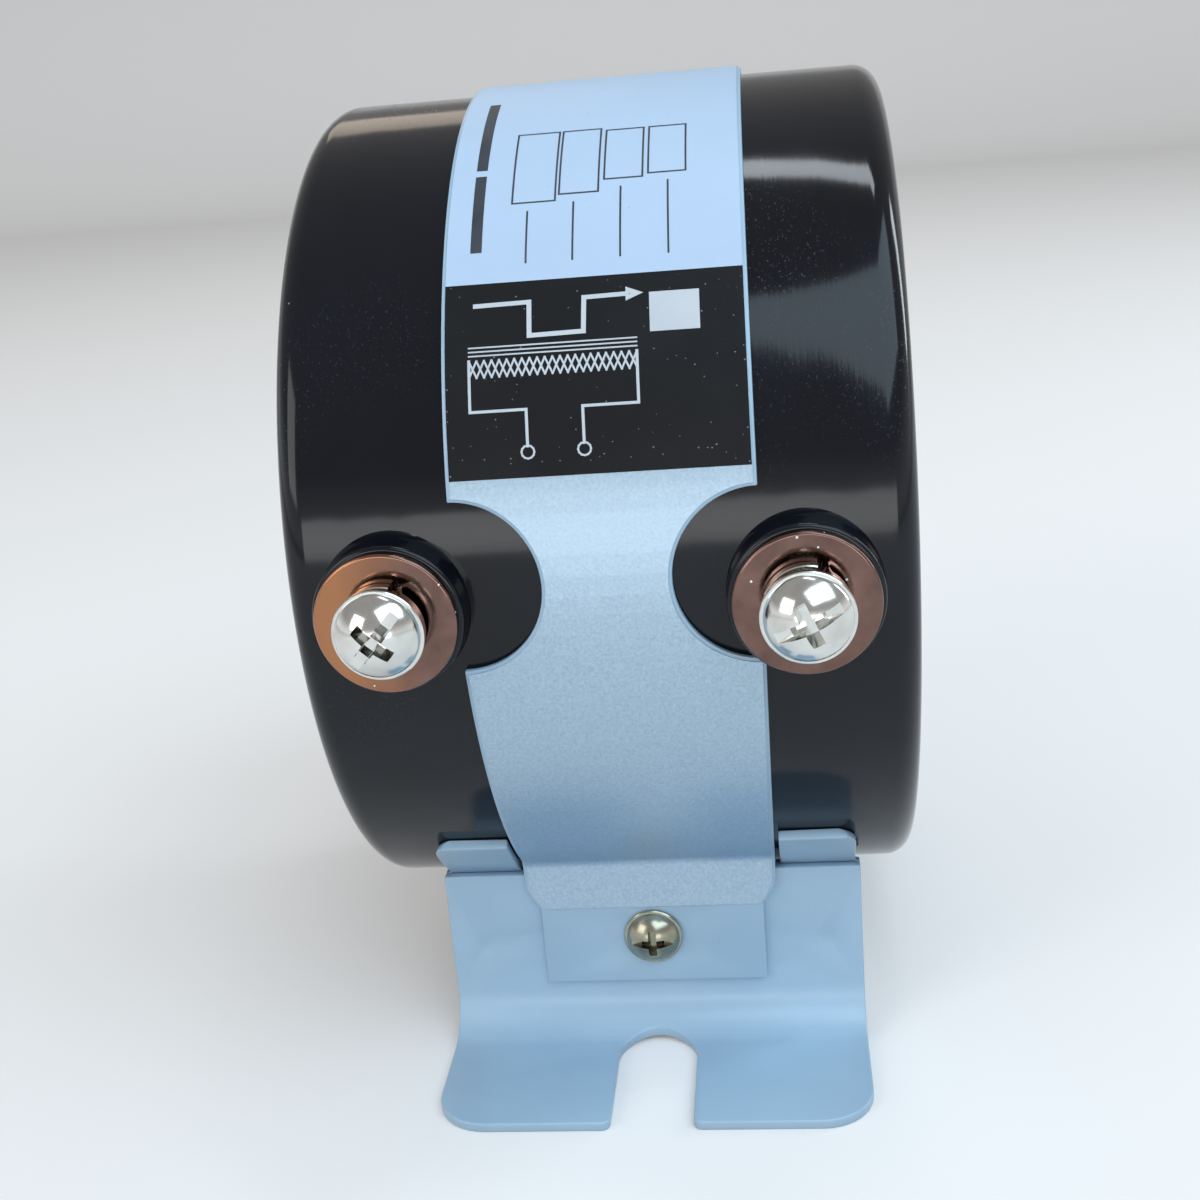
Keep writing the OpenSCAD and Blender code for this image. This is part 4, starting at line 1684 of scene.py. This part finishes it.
@dataclass
class PanScrew:
    """A pan-head screw with a slot and a cross, built with its head up the Z axis."""

    thread_r: float
    length: float
    head_r: float
    head_h: float
    pitch: float

    def build(self, name: str) -> bpy.types.Object:
        """Makes the screw, its seat at z = 0.

        Args:
            name: name of the piece.

        Returns:
            The screw.
        """
        head = self._head()
        screw = Bench.join(name, [head, self._thread()])
        Bench.smooth(screw, 32)
        return screw

    def _head(self) -> bpy.types.Object:
        """Returns: the head, a dome in a low rim, with its recess cut."""
        r, h = self.head_r, self.head_h
        rim, neck = 0.22 * h, 0.32 * h
        dome_r, dome_h = r - 0.4, h - neck
        crown = (dome_r**2 + dome_h**2) / (2 * dome_h)
        start = math.degrees(math.asin((crown - dome_h) / crown))
        shank = self.thread_r * 0.7
        profile: list[Point2] = [(shank, 0.0), (r - 0.2, 0.0), (r, 0.2), (r, rim - 0.1)]
        profile += [(r - 0.1, rim), (r - 0.32, rim + 0.02)]
        profile += [(dome_r, neck)] + arc((0.0, h - crown), crown, start, 90, 16)[1:-1]
        profile += [(0.0, h), (0.0, -1.0), (shank, -1.0)]
        head = Bench.turned("head", without_repeats(profile), Axis.Z, 72)
        slot_t = 0.13 * 2 * r
        tools = [self._blade(2.4 * r, slot_t, slot_t * 0.92, 0.4 * h, 0.0)]
        for turn in (0.0, 90.0):
            tools.append(self._blade(1.2 * r, slot_t * 1.25, slot_t * 0.7, 0.66 * h, turn, 0.5))
        for tool in tools:
            Bench.cut(head, tool)
        Bench.tidy(head, 0.004)
        return head

    def _blade(
        self,
        length: float,
        top_t: float,
        low_t: float,
        depth: float,
        turn: float,
        taper: float = 1.0,
    ) -> bpy.types.Object:
        """Makes the tool that cuts one wing of the recess.

        Args:
            length: its length at the crown.
            top_t: its thickness at the crown.
            low_t: its thickness at the bottom.
            depth: how deep it cuts.
            turn: how far it is turned about the axis, in degrees.
            taper: length at the bottom, as a share of that at the crown.

        Returns:
            The tool.
        """
        Bench.clear()
        bpy.ops.mesh.primitive_cube_add(size=2, location=(0, 0, 0))
        tool = bpy.context.object
        low = self.head_h - depth
        for vertex in tool.data.vertices:
            top = vertex.co.z > 0
            long_share = 1.0 if top else taper
            vertex.co = Vector((
                vertex.co.x * length / 2 * long_share,
                vertex.co.y * (top_t if top else low_t) / 2,
                self.head_h + 0.6 if top else low,
            )) * MM
        Bench.edit(tool)
        bpy.ops.transform.rotate(
            value=-math.radians(turn), orient_axis="Z", center_override=(0.0, 0.0, 0.0)
        )
        Bench.close()
        return tool

    def _thread(self) -> bpy.types.Object:
        """Returns: the threaded shank, with a plain tip."""
        p, r = self.pitch, self.thread_r
        core = r - 0.61 * p
        turns = int((self.length - 1.0) / p)
        tooth = [(core, 0.0), (r, p * 0.42), (r, p * 0.55), (core, p * 0.95), (core, p)]
        points = [Vector((x, 0, z - self.length + 0.8)) * MM for x, z in tooth]
        shank = Bench.trace("shank", points, closed=False)
        Bench.apply(
            shank, "SCREW", angle=2 * math.pi, screw_offset=p * MM, iterations=turns,
            steps=28, render_steps=28, axis="Z", use_merge_vertices=True,
        )
        tip = -self.length
        rod_line = [(0.0, tip), (core - 0.3, tip), (core, tip + 0.4), (core, 0.2), (0.0, 0.2)]
        rod = Bench.turned("rod", rod_line, Axis.Z, 40)
        Bench.tidy(shank)
        return Bench.join("shank", [shank, rod])


@dataclass
class RingWasher:
    """A stamped flat washer with rolled edges, its lower face at z = 0."""

    outer_r: float = 7.5
    hole_r: float = 2.8
    thick: float = 1.2
    roll: float = 0.32

    def build(self, name: str) -> bpy.types.Object:
        """Makes the washer.

        Args:
            name: name of the piece.

        Returns:
            The washer.
        """
        r, i, t, e = self.outer_r, self.hole_r, self.thick, self.roll
        profile = [(i, 0.15), (i + 0.15, 0.0)]
        profile += arc((r - 0.15, 0.15), 0.15, -90, 0, 3)
        profile += arc((r - e, t - e), e, 0, 90, 6)
        profile += [(r - 1.2, t), (i + 0.3, t), (i, t - 0.3)]
        washer = Bench.turned(name, without_repeats(profile), Axis.Z, 96)
        Bench.smooth(washer, 40)
        return washer


@dataclass
class SpringWasher:
    """A split washer whose ends stand apart, its lower face at z = 0."""

    outer_r: float = 4.5
    hole_r: float = 2.8
    thick: float = 1.3
    rise: float = 1.2
    start: float = 60.0
    reach: float = 345.0

    def build(self, name: str) -> bpy.types.Object:
        """Makes the washer.

        Args:
            name: name of the piece.

        Returns:
            The washer.
        """
        i, o, t, e = self.hole_r, self.outer_r, self.thick, 0.12
        corners = [(i + e, 0), (o - e, 0), (o, e), (o, t - e), (o - e, t), (i + e, t), (i, t - e), (i, e)]
        turn = math.radians(self.start)
        points = [
            Vector((x * math.cos(turn), x * math.sin(turn), z)) * MM for x, z in corners
        ]
        washer = Bench.trace(name, points, closed=True)
        Bench.edit(washer, "FACE")
        bpy.ops.mesh.spin(
            steps=72,
            angle=math.radians(self.reach),
            center=(0.0, 0.0, 0.0),
            axis=(0.0, 0.0, 1.0),
        )
        Bench.close()
        Bench.tidy(washer)
        self._rise(washer)
        Bench.smooth(washer, 40)
        return washer

    def _rise(self, washer: bpy.types.Object) -> None:
        """Lifts the ring along its turn, so that its ends stand apart."""
        for vertex in washer.data.vertices:
            angle = math.degrees(math.atan2(vertex.co.y, vertex.co.x))
            share = ((angle - self.start + 0.5) % 360.0 - 0.5) / self.reach
            vertex.co.z += max(0.0, min(1.0, share)) * self.rise * MM


@dataclass
class Fastenings:
    """Terminal stacks and strap screws, set on the case and the bracket."""

    boss_front: float = 53.5
    boss_x: float = 21.4
    slack: float = 0.8
    head_h: float = 3.62
    tab_y: float = 32.8
    screw_z: float = -49.38
    left_turn: float = 48.0
    right_turn: float = 24.0

    def build(self, shop: Shop) -> list[bpy.types.Object]:
        """Makes, sets and dresses every screw and washer.

        Args:
            shop: the finishes.

        Returns:
            The pieces.
        """
        washer = RingWasher()
        spring = SpringWasher()
        screw = PanScrew(2.5, 12.0, 4.75, self.head_h, 0.8)
        spring_y = self.boss_front + washer.thick
        head_y = spring_y + spring.thick + spring.rise + 0.02
        placed: list[bpy.types.Object] = []
        sides = ((-1, "left", 0.0, self.left_turn), (1, "right", self.slack, self.right_turn))
        for side, name, slack, turn in sides:
            stack = (
                (washer.build("washer_" + name), self.boss_front, 0.0, "flat_washer_", shop.washer),
                (spring.build("spring_" + name), spring_y, 0.0, "spring_washer_", shop.zinc),
                (screw.build("screw_" + name), head_y + slack, turn, "terminal_screw_", shop.zinc),
            )
            for piece, y, spin, node, finish in stack:
                Bench.move(piece, self._forward(side * self.boss_x, y, 0.0, spin))
                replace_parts(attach(finish.wear(piece), "root"), node + name)
                placed.append(piece)
        front = PanScrew(2.0, 8.0, 3.55, 2.6, 0.7).build("strap_screw_head_front")
        Bench.move(front, self._forward(0.0, self.tab_y, self.screw_z, 0.0))
        rear = Bench.twin(front, "strap_screw_head_rear", Matrix.Rotation(math.pi, 4, "Z"))
        for piece, node in ((front, "strap_screw_front"), (rear, "strap_screw_rear")):
            Bench.move(piece, OFF_MIDDLE)
            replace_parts(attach(shop.strap_zinc.wear(piece), "root"), node)
            placed.append(piece)
        return placed

    @staticmethod
    def _forward(x: float, y: float, z: float, turn: float) -> Matrix:
        """Stands a piece built up the Z axis on the front.

        Args:
            x: place across.
            y: distance in front of the window's axis.
            z: height.
            turn: turn about the piece's own axis, in degrees.

        Returns:
            The transform.
        """
        place = Matrix.Translation(Vector((x, -y, z)) * MM)
        spin = Matrix.Rotation(math.radians(turn), 4, "Z")
        return place @ Matrix.Rotation(math.pi / 2, 4, "X") @ spin


# ------------------------------------------------------------------ what stays as solid


@dataclass
class InnerParts:
    """The solids that are shown as they are: the core, its winding, pads, leads and nuts."""

    nodes: dict[str, bpy.types.Object]

    def dress(self, shop: Shop) -> int:
        """Gives each of them its finish.

        Args:
            shop: the finishes.

        Returns:
            How many were dressed.
        """
        inner = shop.inner
        finishes = {
            "core": inner["core"],
            "core_inner_sleeve": inner["board"],
            "core_outer_sleeve": inner["board"],
            "core_end_ring_left": inner["board"],
            "core_end_ring_right": inner["board"],
            "secondary_winding": inner["copper"],
            "winding_tape": inner["tape"],
            "pad_left": inner["foam"],
            "pad_right": inner["foam"],
            "lead_left": inner["lead"],
            "lead_right": inner["lead"],
            "insert_left": inner["brass"],
            "insert_right": inner["brass"],
            "strap_nut_front": shop.zinc,
            "strap_nut_rear": shop.zinc,
        }
        for name, finish in finishes.items():
            finish.wear(self.nodes[name])
        return len(finishes)


# ------------------------------------------------------------------ studio


@dataclass
class SoftBox:
    """One soft lamp."""

    name: str
    place: Point3
    aim: Point3
    width: float
    height: float
    power: float
    colour: Colour = (1.0, 1.0, 1.0)

    def build(self) -> bpy.types.Object:
        """Returns: the lamp, turned to its aim."""
        light = bpy.data.lights.new(self.name, "AREA")
        light.shape = "RECTANGLE"
        light.size, light.size_y = self.width, self.height
        light.energy = self.power
        light.color = self.colour
        obj = bpy.data.objects.new(self.name, light)
        obj.location = self.place
        way = Vector(self.aim) - Vector(self.place)
        obj.rotation_euler = way.to_track_quat("-Z", "Y").to_euler()
        bpy.context.scene.collection.objects.link(obj)
        return obj


@dataclass
class Studio:
    """The floor, backdrop, lamps, world and camera."""

    floor_z: float = -63.4
    back_y: float = 1.5
    back_h: float = 0.55
    back_bend: float = 0.3
    half: float = 3.0
    lens: float = 47.52
    place: Point3 = (19.155, -204.193, 51.006)
    aim: Point3 = (-5.823, 0.0, -16.553)
    roll: float = -5.0

    def build(self) -> None:
        """Sets up everything round the object."""
        self._floor()
        self._world()
        for lamp in self._lamps():
            lamp.build()
        self._camera()
        bpy.context.scene.view_settings.view_transform = "Standard"

    def _floor(self) -> None:
        """Makes the floor and the low curved backdrop in one sweep."""
        z, half, bend = self.floor_z * MM, self.half, self.back_bend
        line = [(-half, 0.0)] + arc((self.back_y, bend), bend, -90, 0, 12)
        line += [(self.back_y + bend, self.back_h)]
        sweep = Bench.trace(
            "studio_sweep", [Vector((-half, y, z + rise)) for y, rise in line], closed=False
        )
        Bench.edit(sweep, "EDGE")
        bpy.ops.mesh.extrude_region_move(TRANSFORM_OT_translate={"value": (2 * half, 0, 0)})
        Bench.close()
        Bench.smooth(sweep, 60)
        sweep.data.materials.append(self._paper())

    @staticmethod
    def _paper() -> bpy.types.Material:
        """Returns: the floor's paper, white to the camera and in reflections."""
        material = bpy.data.materials.new("studio paper")
        material.use_nodes = True
        tree = Tree(material.node_tree)
        seen_paper = material.node_tree.nodes["Principled BSDF"]
        seen_paper.inputs["Base Color"].default_value = (0.8, 0.8, 0.8, 1.0)
        seen_paper.inputs["Roughness"].default_value = 0.95
        seen_paper.inputs["Specular IOR Level"].default_value = 0.0
        seen_paper.inputs["Emission Color"].default_value = (1.0, 1.0, 1.0, 1.0)
        seen_paper.inputs["Emission Strength"].default_value = 0.16
        dull_paper = tree.node("ShaderNodeBsdfDiffuse", in_Color=(0.36, 0.35, 0.35, 1.0))
        path = tree.node("ShaderNodeLightPath")
        seen = tree.maths("MAXIMUM", path.outputs["Is Camera Ray"], path.outputs["Is Glossy Ray"])
        seen = tree.maths("MAXIMUM", seen, path.outputs["Is Transmission Ray"])
        pick = tree.node("ShaderNodeMixShader")
        tree.link(seen, pick.inputs[0])
        tree.link(dull_paper.outputs[0], pick.inputs[1])
        tree.link(seen_paper.outputs[0], pick.inputs[2])
        output = next(n for n in material.node_tree.nodes if n.type == "OUTPUT_MATERIAL")
        tree.link(pick.outputs[0], output.inputs["Surface"])
        return material

    @staticmethod
    def _world() -> None:
        """Sets the room: pale at the horizon, dimmer above."""
        world = bpy.data.worlds.new("studio room")
        world.use_nodes = True
        bpy.context.scene.world = world
        tree = Tree(world.node_tree)
        back = next(n for n in world.node_tree.nodes if n.type == "BACKGROUND")
        split = tree.node("ShaderNodeSeparateXYZ")
        tree.link(tree.node("ShaderNodeTexCoord").outputs["Generated"], split.inputs[0])
        share = tree.spread(split.outputs[2], 0.06, 0.32, 0.0, 1.0)
        tree.link(
            tree.mix(share, (0.95, 0.96, 0.98), (0.38, 0.37, 0.36)), back.inputs["Color"]
        )

    @staticmethod
    def _lamps() -> list[SoftBox]:
        """Returns: the lamps, in metres and watts."""
        middle = (0.0, 0.0, 0.0)
        sky = (0.68, 0.86, 1.0)
        return [
            SoftBox("window", (0.47, -0.5, 0.8), middle, 1.1, 0.7, 7.0, sky),
            SoftBox("horizon", (0.03, -1.15, 0.03), middle, 1.2, 0.26, 2.8),
            SoftBox("ceiling strip", (0.1, 0.13, 0.9), middle, 0.32, 0.09, 0.8, (0.85, 0.93, 1.0)),
            SoftBox("right rim", (0.84, 0.37, 0.36), middle, 0.12, 0.5, 1.8, (0.85, 0.95, 1.0)),
            SoftBox("left fill", (-0.7, -0.6, 0.4), middle, 0.5, 0.5, 2.0),
            SoftBox("warm wall", (-0.25, 0.87, 0.62), middle, 0.35, 0.22, 0.35, (1.0, 0.84, 0.68)),
        ]

    def _camera(self) -> None:
        """Sets the camera: a little above and to the right, slightly rolled."""
        data = bpy.data.cameras.new("camera")
        data.sensor_width = 36.0
        data.lens = self.lens
        data.clip_start, data.clip_end = 0.01, 20.0
        camera = bpy.data.objects.new("camera", data)
        bpy.context.scene.collection.objects.link(camera)
        place = Vector(self.place) * MM
        forward = (Vector(self.aim) * MM - place).normalized()
        level = forward.cross(Vector((0, 0, 1))).normalized()
        upright = level.cross(forward)
        roll = math.radians(self.roll)
        right = level * math.cos(roll) + upright * math.sin(roll)
        up = upright * math.cos(roll) - level * math.sin(roll)
        turn = Matrix((right, up, -forward)).transposed()
        camera.matrix_world = Matrix.Translation(place) @ turn.to_4x4()
        bpy.context.scene.camera = camera


# ------------------------------------------------------------------ main


def main() -> None:
    """Builds the object on its frame, then the studio."""
    logging.basicConfig(level=logging.INFO, format="%(name)s: %(message)s")
    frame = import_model()
    shop = Shop.stocked()
    path = StrapPath()
    band = StrapBand(path)
    assemblies = (
        ("ring case", RingCase()),
        ("strap", band),
        ("print", NameplatePrint()),
        ("bracket", SheetBracket()),
        ("fastenings", Fastenings()),
    )
    for label, assembly in assemblies:
        for piece in assembly.build(shop):
            LOG.info("%s: %s, %d faces", label, piece.name, len(piece.data.polygons))
    LOG.info("inner parts dressed: %d", InnerParts(frame["nodes"]).dress(shop))
    Studio().build()
    Bench.clear()


if __name__ == "__main__":
    main()
